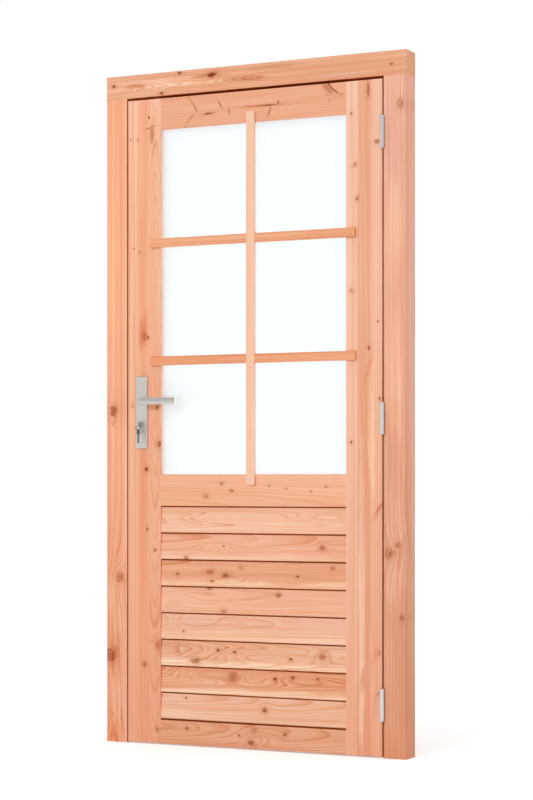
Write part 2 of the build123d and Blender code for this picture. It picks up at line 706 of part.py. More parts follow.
def latch_bolt():
    """Spring latch: a head bevelled on its inner side, a shaft, and a post that the follower's arm pushes."""
    half = BOLT_THICKNESS / 2
    tip = -LEAF_EDGE - LATCH_THROW
    heel = CASE_FRONT + LATCH_BODY
    bevel = [(tip, -half), (tip, -half / 2), (-LEAF_EDGE - GAP, half), (heel, half), (heel, -half)]
    bolt = prism(Plane.XY, bevel, LATCH_Z - LATCH_HEIGHT / 2, LATCH_HEIGHT)
    post = LOCK_X + FOLLOWER_ARM_WIDTH / 2 + 2 * GAP
    shaft_half = LATCH_SHAFT_HEIGHT / 2
    bolt += block((heel, post + LATCH_POST), (-half, half), (LATCH_Z - shaft_half, LATCH_Z + shaft_half))
    bolt += block((post, post + LATCH_POST), (-half, half), (LEVER_HEIGHT + LATCH_POST_RISE, LATCH_Z))
    return bolt


def dead_bolt():
    """Square bolt, flush with the forend when drawn back, with a tail over the cylinder's cam."""
    half = BOLT_THICKNESS / 2
    x = (-LEAF_EDGE, -LEAF_EDGE + DEAD_BOLT_LENGTH)
    low = DEAD_BOLT_Z - DEAD_BOLT_HEIGHT / 2
    bolt = block(x, (-half, half), (low, low + DEAD_BOLT_HEIGHT))
    tail = block((x[1], x[1] + DEAD_BOLT_TAIL), (-half, half), (low, low + DEAD_BOLT_TAIL_HEIGHT))
    notch = block((LOCK_X - CAM_FINGER / 2, LOCK_X + CAM_FINGER / 2), (-half, half),
                  (low, low + CAM_FINGER / 2))
    return bolt + tail - notch


# Spindle, levers and long plates


def spindle(grow=0.0):
    """Square bar that joins both levers through the follower."""
    half = SPINDLE / 2 + grow
    end = PLATE_FACE + LEVER_NECK + grow
    return block((LOCK_X - half, LOCK_X + half), (-end, end), (LEVER_HEIGHT - half, LEVER_HEIGHT + half))


def spindle_hole():
    """Clear hole through the stile round the spindle."""
    return rod((LOCK_X, FRONT, LEVER_HEIGHT), (0, 1, 0), LEVER_BOSS_RADIUS, LEAF_THICKNESS)


def lever():
    """Front lever: a round neck that turns through a bend into a flat grip with a two-facet front."""
    bend_start = -PLATE_FACE - LEVER_REACH + LEVER_BEND
    grip_y = -PLATE_FACE - LEVER_REACH
    root = Line((LOCK_X, -PLATE_FACE - GAP, LEVER_HEIGHT), (LOCK_X, bend_start, LEVER_HEIGHT))
    bend = TangentArc(root @ 1, (LOCK_X + LEVER_BEND, grip_y, LEVER_HEIGHT), tangent=root % 1)
    grip = Line(bend @ 1, (LOCK_X + LEVER_LENGTH, grip_y, LEVER_HEIGHT))
    half = LEVER_GRIP_HEIGHT / 2
    outer = LEVER_GRIP_THICKNESS / 2
    points = [(-outer, -half), (-outer, 0), (LEVER_FACET - outer, half), (outer, half), (outer, -half)]
    section = fillet(make_face(Polyline(*points, close=True)).vertices().sort_by(Axis.Y)[:2], ARRIS)
    at_root = Plane(origin=root @ 0, x_dir=(1, 0, 0), z_dir=(0, -1, 0))
    handle = sweep(at_root * section, path=Wire([root, bend, grip]))
    handle += rod((LOCK_X, -PLATE_FACE - GAP, LEVER_HEIGHT), (0, -1, 0), LEVER_GRIP_HEIGHT / 2, LEVER_NECK)
    handle += rod((LOCK_X, -PLATE_FACE - GAP, LEVER_HEIGHT), (0, 1, 0), LEVER_BOSS_RADIUS,
                  PLATE_THICKNESS - ARRIS)
    return handle - spindle(FIT)


def plate_bolts(grow=0.0):
    """Two bolts from the inner plate through the stile into the outer plate's bosses."""
    heights = (PLATE_TOP - PLATE_BOLT_INSET, PLATE_BOTTOM + PLATE_BOLT_INSET)
    length = 2 * PLATE_FACE - PLATE_WALL
    return [screw((LOCK_X, PLATE_FACE, z), (0, -1, 0), PLATE_BOLT_RADIUS, PLATE_BOLT_HEAD, length, grow)
            for z in heights]


def plate():
    """Outer long plate: a shallow tray with bosses round lever, cylinder and bolts."""
    half = PLATE_WIDTH / 2
    tray = block((LOCK_X - half, LOCK_X + half), (-PLATE_FACE, FRONT), (PLATE_BOTTOM, PLATE_TOP))
    edges = tray.edges().filter_by_position(Axis.Y, -PLATE_FACE - FIT, -PLATE_FACE + FIT)
    tray = fillet(edges, PLATE_EDGE)
    inner = half - PLATE_WALL
    hollow = block((LOCK_X - inner, LOCK_X + inner), (-PLATE_FACE + PLATE_WALL, FRONT),
                   (PLATE_BOTTOM + PLATE_WALL, PLATE_TOP - PLATE_WALL))
    hollow -= rod((LOCK_X, -PLATE_FACE, LEVER_HEIGHT), (0, 1, 0), LEVER_BOSS_RADIUS + PLATE_WALL,
                  PLATE_THICKNESS)
    hollow -= cylinder_outline(PLATE_WALL, -PLATE_FACE, FRONT)
    for z in (PLATE_TOP - PLATE_BOLT_INSET, PLATE_BOTTOM + PLATE_BOLT_INSET):
        hollow -= rod((LOCK_X, -PLATE_FACE, z), (0, 1, 0), PLATE_BOLT_HEAD + PLATE_WALL, PLATE_THICKNESS)
    bearing = rod((LOCK_X, -PLATE_FACE, LEVER_HEIGHT), (0, 1, 0), LEVER_BOSS_RADIUS + FIT, PLATE_THICKNESS)
    return cut(tray, [hollow, bearing, cylinder_outline(FIT, -PLATE_FACE, FRONT)])


# Profile cylinder, keys and ring


def cylinder_outline(grow, start, end):
    """Pear-shaped bar along Y: a round over a narrow fin with a round foot."""
    radius = CYLINDER_RADIUS + grow
    half = CYLINDER_FIN / 2 + grow
    bar_shape = rod((LOCK_X, start, CYLINDER_Z), (0, 1, 0), radius, end - start)
    bar_shape += block((LOCK_X - half, LOCK_X + half), (start, end), (FIN_CENTRE_Z, CYLINDER_Z))
    bar_shape += rod((LOCK_X, start, FIN_CENTRE_Z), (0, 1, 0), half, end - start)
    return bar_shape


def cylinder_body():
    """Body bored for both plugs and cut away in the middle for the cam."""
    bore = rod((LOCK_X, -CYLINDER_END, CYLINDER_Z), (0, 1, 0), PLUG_RADIUS + FIT, 2 * CYLINDER_END)
    half = CAM_WIDTH / 2 + SLIDE
    cam_room = rod((LOCK_X, -half, CYLINDER_Z), (0, 1, 0), CAM_RADIUS + SLIDE, 2 * half)
    return cut(cylinder_outline(0.0, -CYLINDER_END, CYLINDER_END), [bore, cam_room, cylinder_screw(FIT)])


def keyway(start, length):
    """Slot for a key's blade."""
    half_x = KEY_THICKNESS / 2 + SLIDE
    half_z = KEYWAY_HEIGHT / 2
    return block((LOCK_X - half_x, LOCK_X + half_x), (start, start + length),
                 (CYLINDER_Z - half_z, CYLINDER_Z + half_z))


def front_plug():
    """Outer plug with the cam on its inner end."""
    cam_half = CAM_WIDTH / 2
    plug = rod((LOCK_X, -CYLINDER_END, CYLINDER_Z), (0, 1, 0), PLUG_RADIUS, CYLINDER_END + cam_half)
    plug += block((LOCK_X - CAM_FINGER / 2, LOCK_X + CAM_FINGER / 2), (-cam_half, cam_half),
                  (CYLINDER_Z - CAM_RADIUS + 1.0, CYLINDER_Z))
    return plug - keyway(-CYLINDER_END, KEY_BLADE_LENGTH + SLIDE)


def back_plug():
    """Inner plug, turned only by a key on the inside."""
    start = CAM_WIDTH / 2 + SLIDE
    plug = rod((LOCK_X, start, CYLINDER_Z), (0, 1, 0), PLUG_RADIUS, CYLINDER_END - start)
    return plug - keyway(CYLINDER_END - KEY_BLADE_LENGTH, KEY_BLADE_LENGTH)


def flat_key():
    """Key lying in the YZ plane, its blade along +Y from the shoulder at the origin, its bow along -Y."""
    half = KEY_THICKNESS / 2
    blade = block((-half, half), (-KEY_NECK, KEY_BLADE_LENGTH), (-KEY_BLADE_HEIGHT / 2, KEY_BLADE_HEIGHT / 2))
    bow_y = -KEY_NECK - KEY_BOW_RADIUS + ARRIS
    bow = rod((-half, bow_y, 0), (1, 0, 0), KEY_BOW_RADIUS, KEY_THICKNESS)
    hole = rod((-half, bow_y - KEY_HOLE_OFFSET, 0), (1, 0, 0), KEY_HOLE_RADIUS, KEY_THICKNESS)
    cuts = []
    for index in range(4):
        y = KEY_BLADE_LENGTH * (0.25 + 0.18 * index)
        depth = KEY_BLADE_HEIGHT * (0.18 + 0.1 * (index % 2))
        top = KEY_BLADE_HEIGHT / 2
        cuts.append(prism(Plane.YZ, [(y - depth, top), (y, top - depth), (y + depth, top)], -half,
                          KEY_THICKNESS))
    return cut(blade + bow, cuts + [hole])


def keys_and_ring():
    """Key in the plug, ring through its bow, and the spare key that hangs from the ring."""
    key_hole = KEY_NECK + KEY_BOW_RADIUS - ARRIS + KEY_HOLE_OFFSET
    y = -CYLINDER_END - key_hole
    play = KEY_HOLE_RADIUS - RING_WIRE - FIT
    ring_z = CYLINDER_Z - play - RING_RADIUS
    spare_hole = ring_z - RING_RADIUS - play
    ring = Pos(LOCK_X, y, ring_z) * Rot(90, 0, 0) * Torus(RING_RADIUS, RING_WIRE)
    spare = Pos(LOCK_X, y, spare_hole - key_hole) * Rot(-90, 0, 0) * flat_key()
    return {
        "key": Pos(LOCK_X, -CYLINDER_END, CYLINDER_Z) * flat_key(),
        "key_ring": ring,
        "spare_key": spare,
    }


def all_parts():
    """Every sub-part by its name."""
    parts = {
        "left_jamb": left_jamb(),
        "right_jamb": right_jamb(),
        "head": head(),
        "corner_screws": corner_screws(),
        "weather_seal": weather_seal(),
        "strike_plate": strike_plate(),
        "frame_screws": hinge_screws("jamb") + strike_screws(),
        "left_stile": left_stile(),
        "right_stile": right_stile(),
        "top_rail": top_rail(),
        "lock_rail": lock_rail(),
        "bottom_rail": bottom_rail(),
        "leaf_dowels": dowels(),
        "glass_pane": glass_pane(),
        "glazing_tape": glazing_tape(),
        "setting_blocks": setting_blocks(),
        "upright_bar": upright_bar(),
        "panel_pins": panel_pins(),
        "leaf_screws": hinge_screws("door") + forend_screws(),
        "lock_case": lock_case(),
        "lock_forend": lock_forend(),
        "follower": follower(),
        "latch_bolt": latch_bolt(),
        "dead_bolt": dead_bolt(),
        "spindle": spindle(),
        "front_lever": lever(),
        "back_lever": to_back(lever()),
        "front_plate": cut(plate(), plate_bolts(FIT)),
        "back_plate": cut(to_back(plate()), plate_bolts(FIT)),
        "plate_bolts": plate_bolts(),
        "cylinder_body": cylinder_body(),
        "front_plug": front_plug(),
        "back_plug": back_plug(),
        "cylinder_screw": cylinder_screw(),
    }
    parts.update(beads())
    parts.update(keys_and_ring())
    for name, height in zip(("lower_cross_bar", "upper_cross_bar"), cross_bar_heights()):
        parts[name] = cross_bar(height)
    for index in range(1, BOARD_COUNT + 1):
        parts[f"board_{index}"] = board(index)
    for place, height in HINGE_HEIGHTS.items():
        parts[f"{place}_hinge_jamb_leaf"] = hinge_leaf("jamb", height)
        parts[f"{place}_hinge_door_leaf"] = hinge_leaf("door", height)
        parts[f"{place}_hinge_pin"] = hinge_pin(height)
    return parts


def save(name, shape):
    """Write one sub-part; a list of solids becomes one group."""
    if isinstance(shape, list):
        shape = Compound(children=shape)
    export_step(shape, os.path.join("parts", name + ".step"))


os.makedirs("parts", exist_ok=True)
for part_name, part_shape in all_parts().items():
    save(part_name, part_shape)
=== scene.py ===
"""Softwood glazed door in its frame: planed timber with grain and knots, a pane behind bars, a lever lock and
keys. It is dressed in the order in which it is put together."""
import math

import bpy
import numpy as np
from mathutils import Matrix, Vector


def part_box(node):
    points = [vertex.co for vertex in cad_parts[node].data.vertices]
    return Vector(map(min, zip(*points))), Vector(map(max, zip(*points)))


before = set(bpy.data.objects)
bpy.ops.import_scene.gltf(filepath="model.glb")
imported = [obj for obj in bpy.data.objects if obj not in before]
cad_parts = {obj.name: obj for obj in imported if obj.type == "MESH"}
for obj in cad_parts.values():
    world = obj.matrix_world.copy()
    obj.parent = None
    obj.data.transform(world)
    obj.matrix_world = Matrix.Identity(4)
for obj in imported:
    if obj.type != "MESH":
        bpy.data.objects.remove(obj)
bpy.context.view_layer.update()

# Camera, where the photograph was taken from: to the right of the door and low, looking level at it. The lens
# is long, and the picture is shifted up a little, so the uprights stay upright.
LOOKS_LEVEL = 90.0
TURNED_LEFT = 25.81
STANDS_AT = (2.818, -5.741, 0.829)
LENS = 93.8
SHIFTED_UP = 0.099
camera = bpy.data.objects.new("camera", bpy.data.cameras.new("camera"))
bpy.context.scene.collection.objects.link(camera)
bpy.context.scene.camera = camera
camera.location = STANDS_AT
camera.rotation_euler = (math.radians(LOOKS_LEVEL), 0.0, math.radians(TURNED_LEFT))
camera.data.sensor_fit = "VERTICAL"
camera.data.sensor_height = 36.0
camera.data.lens = LENS
camera.data.shift_y = SHIFTED_UP

# Jambs and head of the frame: planed softwood, rebated for the leaf and left bare. The yearly rings run along
# each length as lines and pointed arches, and bend round the knots. The head lies on the ends of the jambs.
PALE_WOOD = (0.8, 0.45, 0.27, 1.0)
LATE_WOOD_STAIN = (0.86, 0.66, 0.54, 1.0)
KNOT_STAIN = (0.33, 0.14, 0.08, 1.0)
# GAP_SHADE_COLOUR is painted shade: it darkens and browns the faces deep in the gaps and grooves, where shade
# falls.
GAP_SHADE_COLOUR = (0.66, 0.36, 0.10, 1.0)


def metres(millimetres):
    """Millimetres in the metres of the scene."""
    return millimetres / 1000.0


def linear(red, green, blue):
    """A colour as written on a screen, 0 to 255, in the renderer's own linear numbers."""
    shares = np.array([red, green, blue]) / 255.0
    curve = np.where(shares <= 0.04045, shares / 12.92, ((shares + 0.055) / 1.055) ** 2.4)
    return (*curve.tolist(), 1.0)


def step(tree, kind, inputs=(), **settings):
    """Adds one shader node with its settings. Its inputs, by place or name, are plain values or outputs."""
    made = tree.nodes.new("ShaderNode" + kind)
    for name, value in settings.items():
        setattr(made, name, value)
    for name, value in inputs.items() if isinstance(inputs, dict) else enumerate(inputs):
        if isinstance(value, bpy.types.NodeSocket):
            tree.links.new(value, made.inputs[name])
        elif value is not None:
            made.inputs[name].default_value = value
    return made


def sums(tree, operation, *values):
    """One step of arithmetic on numbers or outputs, as an output."""
    return step(tree, "Math", values, operation=operation).outputs[0]


def ramp(tree, value, start, end, low=0.0, high=1.0):
    """A straight climb from low to high while the value goes from start to end, level outside."""
    places = {"Value": value, "From Min": start, "From Max": end, "To Min": low, "To Max": high}
    return step(tree, "MapRange", places).outputs[0]


def mixed(tree, factor, first, second, blend="MIX"):
    """Two colours mixed by a factor, as an output."""
    made = step(tree, "Mix", {0: factor, 6: first, 7: second}, data_type="RGBA", blend_type=blend)
    return made.outputs[2]


def stained_or_shaded(tree, colour, stain, amount):
    """A colour times a stain or a painted shade to the power of an amount, as a stain darkens wood, as an
    output.
    """
    held = step(tree, "Gamma", {"Color": stain, "Gamma": amount}).outputs[0]
    return mixed(tree, 1.0, colour, held, "MULTIPLY")


def length_of(tree, *parts):
    """Root of the sum of the squares of up to three numbers, as an output."""
    place = step(tree, "CombineXYZ", parts).outputs[0]
    return step(tree, "VectorMath", [place], operation="LENGTH").outputs["Value"]


def new_group(name, inputs, outputs):
    """An empty node group with named inputs and outputs, each given as name: starting value."""
    group = bpy.data.node_groups.new(name, "ShaderNodeTree")
    for side, sockets in (("INPUT", inputs), ("OUTPUT", outputs)):
        for label, value in sockets.items():
            kind = "NodeSocketColor" if isinstance(value, tuple) else "NodeSocketFloat"
            socket = group.interface.new_socket(name=label, in_out=side, socket_type=kind)
            socket.default_value = value
    return group, group.nodes.new("NodeGroupInput").outputs, group.nodes.new("NodeGroupOutput").inputs


def placed(tree, group, values):
    """Puts a node group into a material with its own values, and gives its outputs."""
    made = tree.nodes.new("ShaderNodeGroup")
    made.node_tree = group
    for label, value in values.items():
        if isinstance(value, bpy.types.NodeSocket):
            tree.links.new(value, made.inputs[label])
        else:
            made.inputs[label].default_value = value
    return made.outputs


def from_centre(tree, given):
    """A point less a centre: along and across after a turn, and across before it, as outputs. Along turns to
    along times cosine plus across times sine, and across to across times cosine less along times sine."""
    along = sums(tree, "SUBTRACT", given["Along"], given["Centre Along"])
    across = sums(tree, "SUBTRACT", given["Across"], given["Centre Across"])
    cosine = sums(tree, "COSINE", given["Turn"])
    sine = sums(tree, "SINE", given["Turn"])
    turned_along = sums(tree, "MULTIPLY_ADD", along, cosine, sums(tree, "MULTIPLY", across, sine))
    turned_across = sums(tree, "SUBTRACT", sums(tree, "MULTIPLY", across, cosine),
                         sums(tree, "MULTIPLY", along, sine))
    return turned_along, turned_across, across


def add_knot_group():
    """One knot. Distance from its centre, in radii, is the length of (along / stretch, across) after a turn,
    made ragged by the wobble. Within one radius lies the knot, dark all through or, where it is open, pale
    with dark rings, and round it a soft halo. The grain parts round it as water does round a pole: across
    less (across times flow over (distance squared + core)). The rings rise there like a hill: rise times e to
    the minus (distance over hill) squared."""
    wobble_share, steady_share = 1.1, 0.45
    edge_outside, edge_inside = 1.2, 0.8
    ring_pace, ring_swing, ring_middle = 16.0, 0.13, 0.16
    rim_from, rim_to, rim_dark = 0.6, 0.9, 0.6
    pith_from, pith_to, pith_dark = 0.35, 0.1, 0.7
    halo_dark, halo_fade = 0.9, -1.25
    core = 0.6
    inputs = {"Along": 0.0, "Across": 0.0, "Wobble": 0.5, "Centre Along": 0.0, "Centre Across": 0.0,
              "Radius": 0.005, "Stretch": 1.3, "Turn": 0.0, "Strength": 1.0, "Open": 0.0, "Flow": 1.0,
              "Hill": 3.0, "Rise": 0.0, "Shift In": 0.0, "Rings In": 0.0, "Knots In": 0.0}
    tree, given, out = new_group("knot", inputs, {"Shift": 0.0, "Rings": 0.0, "Knots": 0.0})
    turned_along, turned_across, across = from_centre(tree, given)
    squeezed = sums(tree, "DIVIDE", turned_along, given["Stretch"])
    radii = sums(tree, "DIVIDE", length_of(tree, squeezed, turned_across), given["Radius"])
    raggedness = sums(tree, "MULTIPLY_ADD", given["Wobble"], wobble_share, steady_share)
    ragged = sums(tree, "MULTIPLY", radii, raggedness)

    ripple = sums(tree, "SINE", sums(tree, "MULTIPLY", ragged, ring_pace))
    ringed = sums(tree, "MULTIPLY_ADD", ripple, ring_swing, ring_middle)
    ringed = sums(tree, "ADD", ringed, ramp(tree, ragged, rim_from, rim_to, 0.0, rim_dark))
    ringed = sums(tree, "ADD", ringed, ramp(tree, ragged, pith_from, pith_to, 0.0, pith_dark))
    closed = sums(tree, "SUBTRACT", 1.0, given["Open"])
    inside = ramp(tree, ragged, edge_outside, edge_inside)
    body = sums(tree, "MULTIPLY", inside, sums(tree, "MULTIPLY_ADD", ringed, given["Open"], closed))
    faded = sums(tree, "EXPONENT", sums(tree, "MULTIPLY", ragged, halo_fade))
    halo = sums(tree, "MULTIPLY", halo_dark, faded)
    body = sums(tree, "MULTIPLY", sums(tree, "MAXIMUM", body, halo), given["Strength"])
    tree.links.new(sums(tree, "MAXIMUM", given["Knots In"], body), out["Knots"])

    parting = sums(tree, "DIVIDE", across, sums(tree, "MULTIPLY_ADD", radii, radii, core))
    shift = sums(tree, "SUBTRACT", given["Shift In"], sums(tree, "MULTIPLY", parting, given["Flow"]))
    tree.links.new(shift, out["Shift"])
    far = sums(tree, "DIVIDE", radii, given["Hill"])
    hill = sums(tree, "EXPONENT", sums(tree, "MULTIPLY", sums(tree, "MULTIPLY", far, far), -1.0))
    tree.links.new(sums(tree, "MULTIPLY_ADD", hill, given["Rise"], given["Rings In"]), out["Rings"])
    return tree


def add_patch_group():
    """One soft patch of another wood colour. Distance from its centre is the length of (along / half length,
    across / half width) after a turn, plus ragged noise, and the colour fades out between half of that and a
    little over it."""
    ragged_swing, ragged_middle = 1.4, -0.7
    fades_from, fades_to = 1.2, 0.5
    inputs = {"Along": 0.0, "Across": 0.0, "Ragged": 0.5, "Centre Along": 0.0, "Centre Across": 0.0,
              "Half Length": 0.1, "Half Width": 0.01, "Turn": 0.0, "Tint": PALE_WOOD, "Wood In": PALE_WOOD}
    tree, given, out = new_group("patch", inputs, {"Wood": PALE_WOOD})
    turned_along, turned_across, _ = from_centre(tree, given)
    reach = length_of(tree, sums(tree, "DIVIDE", turned_along, given["Half Length"]),
                      sums(tree, "DIVIDE", turned_across, given["Half Width"]))
    ragged = sums(tree, "MULTIPLY_ADD", given["Ragged"], ragged_swing, ragged_middle)
    held = ramp(tree, sums(tree, "ADD", reach, ragged), fades_from, fades_to)
    tree.links.new(mixed(tree, held, given["Wood In"], given["Tint"]), out["Wood"])
    return tree


def add_softwood_group():
    """Ring number is distance from the heart over ring width, the distance being the length of (across,
    depth) from a heart that leans along the piece, with slow noise on both. Each ring darkens slowly and ends
    at once, and some years are redder than others. Fine fibres, streaks and slow tone go over it, then the
    knots, and the painted shade of the faces in the gaps and grooves."""
    seed_step, uneven_years = 9.0, 1.8
    late_from, late_sharpness = 0.88, 3.2
    year_swing, year_least = 0.8, 0.3
    ring_dark, early_light, years_dark = 2.1, -0.28, 0.6
    fibre_dark, tone_dark, streak_dark = 0.9, 1.3, 1.3
    late_gloss, early_roughness = -0.10, 0.62
    fibre_height, ring_height, knot_height = 0.8, 0.6, 0.8
    inputs = {"Along": 0.0, "Across": 0.0, "Depth": 0.0, "Shift": 0.0, "Rings": 0.0, "Knots": 0.0,
              "Painted Gap Shade": 0.0, "Seed": 0.0, "Ring Width": 0.004, "Heart Across": 0.0, "Heart Depth": 0.05,
              "Lean": 0.0, "Waver": 0.012, "Figure": 1.0, "Streaks": 1.0, "Wood": PALE_WOOD}
    outputs = {"Color": PALE_WOOD, "Roughness": 0.6, "Height": 0.0}
    tree, given, out = new_group("softwood", inputs, outputs)
    parted = sums(tree, "ADD", given["Across"], given["Shift"])

    def noise(along_scale, across_scale, offset, detail):
        """Noise on the piece with its own scale along and across the grain, in cells per metre."""
        place = step(tree, "CombineXYZ", [sums(tree, "MULTIPLY", given["Along"], along_scale),
                                          sums(tree, "MULTIPLY", parted, across_scale),
                                          sums(tree, "MULTIPLY", given["Depth"], across_scale)]).outputs[0]
        made = step(tree, "TexNoise", {"Vector": place, "W": sums(tree, "ADD", given["Seed"], offset),
                                       "Scale": 1.0, "Detail": detail}, noise_dimensions="4D")
        return made.outputs

    def along_years(number, scale, offset, detail):
        """Noise from one yearly ring to the next, less one half."""
        place = sums(tree, "MULTIPLY_ADD", given["Seed"], seed_step + offset, number)
        made = step(tree, "TexNoise", {"W": place, "Scale": scale, "Detail": detail}, noise_dimensions="1D")
        return sums(tree, "SUBTRACT", made.outputs[0], 0.5)

    clouds = noise(along_scale=2.2, across_scale=9.0, offset=0.0, detail=3.0)["Color"]
    slow = step(tree, "SeparateColor", [clouds]).outputs
    sway = [sums(tree, "MULTIPLY", sums(tree, "SUBTRACT", part, 0.5), given["Waver"]) for part in slow]
    heart = sums(tree, "MULTIPLY_ADD", given["Lean"], given["Along"], given["Heart Depth"])
    reach = length_of(tree, sums(tree, "SUBTRACT", sums(tree, "ADD", parted, sway[0]), given["Heart Across"]),
                      sums(tree, "SUBTRACT", sums(tree, "ADD", given["Depth"], sway[1]), heart))
    number = sums(tree, "DIVIDE", sums(tree, "ADD", reach, given["Rings"]), given["Ring Width"])
    uneven = along_years(number, scale=0.6, offset=0.0, detail=2.0)
    number = sums(tree, "MULTIPLY_ADD", uneven, uneven_years, number)

    part = sums(tree, "FRACT", number)
    late = sums(tree, "MULTIPLY", sums(tree, "POWER", part, late_sharpness), ramp(tree, part, 1.0, late_from))
    year = step(tree, "TexWhiteNoise", {"W": sums(tree, "ADD", sums(tree, "FLOOR", number), given["Seed"])},
                noise_dimensions="1D").outputs[0]
    ring = sums(tree, "MULTIPLY", late, sums(tree, "MULTIPLY_ADD", year, year_swing, year_least))
    fibre = noise(along_scale=5.0, across_scale=420.0, offset=3.0, detail=2.0)[0]
    fibre = sums(tree, "SUBTRACT", fibre, 0.5)
    streak = noise(along_scale=1.6, across_scale=90.0, offset=7.0, detail=3.0)[0]
    streak = sums(tree, "SUBTRACT", streak, 0.5)
    tone = noise(along_scale=1.6, across_scale=8.0, offset=11.0, detail=2.0)[0]
    tone = sums(tree, "SUBTRACT", tone, 0.5)
    dark = sums(tree, "MULTIPLY_ADD", ring, ring_dark, early_light)
    years = along_years(number, scale=0.28, offset=4.0, detail=1.0)
    dark = sums(tree, "MULTIPLY_ADD", years, years_dark, dark)
    dark = sums(tree, "MULTIPLY_ADD", fibre, fibre_dark, dark)
    dark = sums(tree, "MULTIPLY", sums(tree, "MULTIPLY_ADD", tone, tone_dark, dark), given["Figure"])
    dark = sums(tree, "MULTIPLY_ADD", sums(tree, "MULTIPLY", streak, streak_dark), given["Streaks"], dark)

    colour = stained_or_shaded(tree, given["Wood"], LATE_WOOD_STAIN, dark)
    colour = stained_or_shaded(tree, colour, KNOT_STAIN, given["Knots"])
    # Painted shade: the faces in the gaps and grooves are darkened by the gap shade colour.
    colour = stained_or_shaded(tree, colour, GAP_SHADE_COLOUR, given["Painted Gap Shade"])
    tree.links.new(colour, out["Color"])
    tree.links.new(sums(tree, "MULTIPLY_ADD", ring, late_gloss, early_roughness), out["Roughness"])
    relief = sums(tree, "MULTIPLY_ADD", fibre, fibre_height, sums(tree, "MULTIPLY", ring, ring_height))
    tree.links.new(sums(tree, "MULTIPLY_ADD", given["Knots"], knot_height, relief), out["Height"])
    return tree


knot_group = add_knot_group()
patch_group = add_patch_group()
softwood_group = add_softwood_group()


def rings_of(width, heart_across, heart_depth, lean=0.0):
    """A piece's yearly rings: their width and the heart's place across and in depth, in millimetres, and how
    far the heart moves back for each length along the piece."""
    return {"Ring Width": metres(width), "Heart Across": metres(heart_across),
            "Heart Depth": metres(heart_depth), "Lean": lean}


def knot(along, across, radius, dark=0.9, open=0.0, stretch=1.3, turn=0.0, flow=1.0, hill=3.5, rise=0.0):
    """A knot: its place, radius and the rise of the rings in millimetres, and its turn in degrees. open is
    how pale its middle is, stretch its length over its width, flow how far the grain parts round it, and hill
    how many radii away the rings still rise."""
    return {"Centre Along": metres(along), "Centre Across": metres(across), "Radius": metres(radius),
            "Strength": dark, "Open": open, "Stretch": stretch, "Turn": math.radians(turn), "Flow": flow,
            "Hill": hill, "Rise": metres(rise)}


def swirl(along, across, half_length, half_width, rise):
    """An oval of rings without a knot: its place, half sizes and rise in millimetres."""
    return knot(along, across, half_width, dark=0.0, stretch=half_length / half_width, flow=0.0, hill=1.0,
                rise=rise)


def crack(along, across, length, turn=0.0, dark=1.0, half_width=1.7):
    """A short dark check in the wood, as a very long thin knot, with its sizes in millimetres."""
    stretch = length / half_width / 2.0
    return knot(along, across, half_width, dark, stretch=stretch, turn=turn, flow=0.0, hill=1.0)


def patch(along, across, half_length, half_width, colour, turn=0.0):
    """A soft patch of another colour: its place and half sizes in millimetres, and its turn in degrees."""
    return {"Centre Along": metres(along), "Centre Across": metres(across),
            "Half Length": metres(half_length), "Half Width": metres(half_width),
            "Turn": math.radians(turn), "Tint": linear(*colour)}


def strip(edge, softness, colour, rings=None, figure=None):
    """A strip of another colour, from an edge on, whose place and softness are in millimetres. A strip glued
    on has a sharp edge, and may have its own rings and figure."""
    own = dict(rings) if rings else {}
    if figure is not None:
        own["Figure"] = figure
    return edge, softness, linear(*colour), own


def gap_shade_amount(amount, **bounds):
    """How much painted shade darkens the faces in the gaps, as one number or as two for the top and the
    bottom of an upright, and the lowest and highest place of those faces on each axis, in millimetres."""
    return amount, bounds


def add_marks(tree, place, values, marks):
    """Lays the knots on a piece, each one adding to what those before it did to the grain."""
    wobble_scale = 130.0
    wobble = step(tree, "TexNoise", {"Vector": place, "Scale": wobble_scale, "Detail": 1.0}).outputs[0]
    for mark in marks:
        found = placed(tree, knot_group, {**mark, "Along": values["Along"], "Across": values["Across"],
                                          "Wobble": wobble, "Shift In": values.get("Shift", 0.0),
                                          "Rings In": values.get("Rings", 0.0),
                                          "Knots In": values.get("Knots", 0.0)})
        values.update(Shift=found["Shift"], Rings=found["Rings"], Knots=found["Knots"])


def add_strips(tree, values, strips):
    """Lays the strips over a piece, each one over those before it. A soft edge drifts along the piece, and a
    sharp one is a glue line, beyond which the noise has another seed."""
    drift_pace, drift_width, seed_step = 5.0, 24.0, 5.3
    seed = values["Seed"]
    glue_lines = 0.0
    for edge, softness, colour, own in strips:
        if softness > 0.0:
            place = sums(tree, "MULTIPLY_ADD", values["Along"], drift_pace, seed)
            drift = step(tree, "TexNoise", {"W": place, "Scale": 1.0}, noise_dimensions="1D").outputs[0]
            drifted = sums(tree, "MULTIPLY_ADD", drift, metres(drift_width), values["Across"])
            middle = edge + drift_width / 2.0
            past = ramp(tree, drifted, metres(middle - softness), metres(middle + softness))
        else:
            past = sums(tree, "GREATER_THAN", values["Across"], metres(edge))
            glue_lines = sums(tree, "ADD", past, glue_lines)
        for label, new in own.items():
            change = sums(tree, "SUBTRACT", new, values[label])
            values[label] = sums(tree, "MULTIPLY_ADD", change, past, values[label])
        values["Wood"] = mixed(tree, past, values["Wood"], colour)
    if isinstance(glue_lines, bpy.types.NodeSocket):
        values["Seed"] = sums(tree, "MULTIPLY_ADD", glue_lines, seed_step, seed)


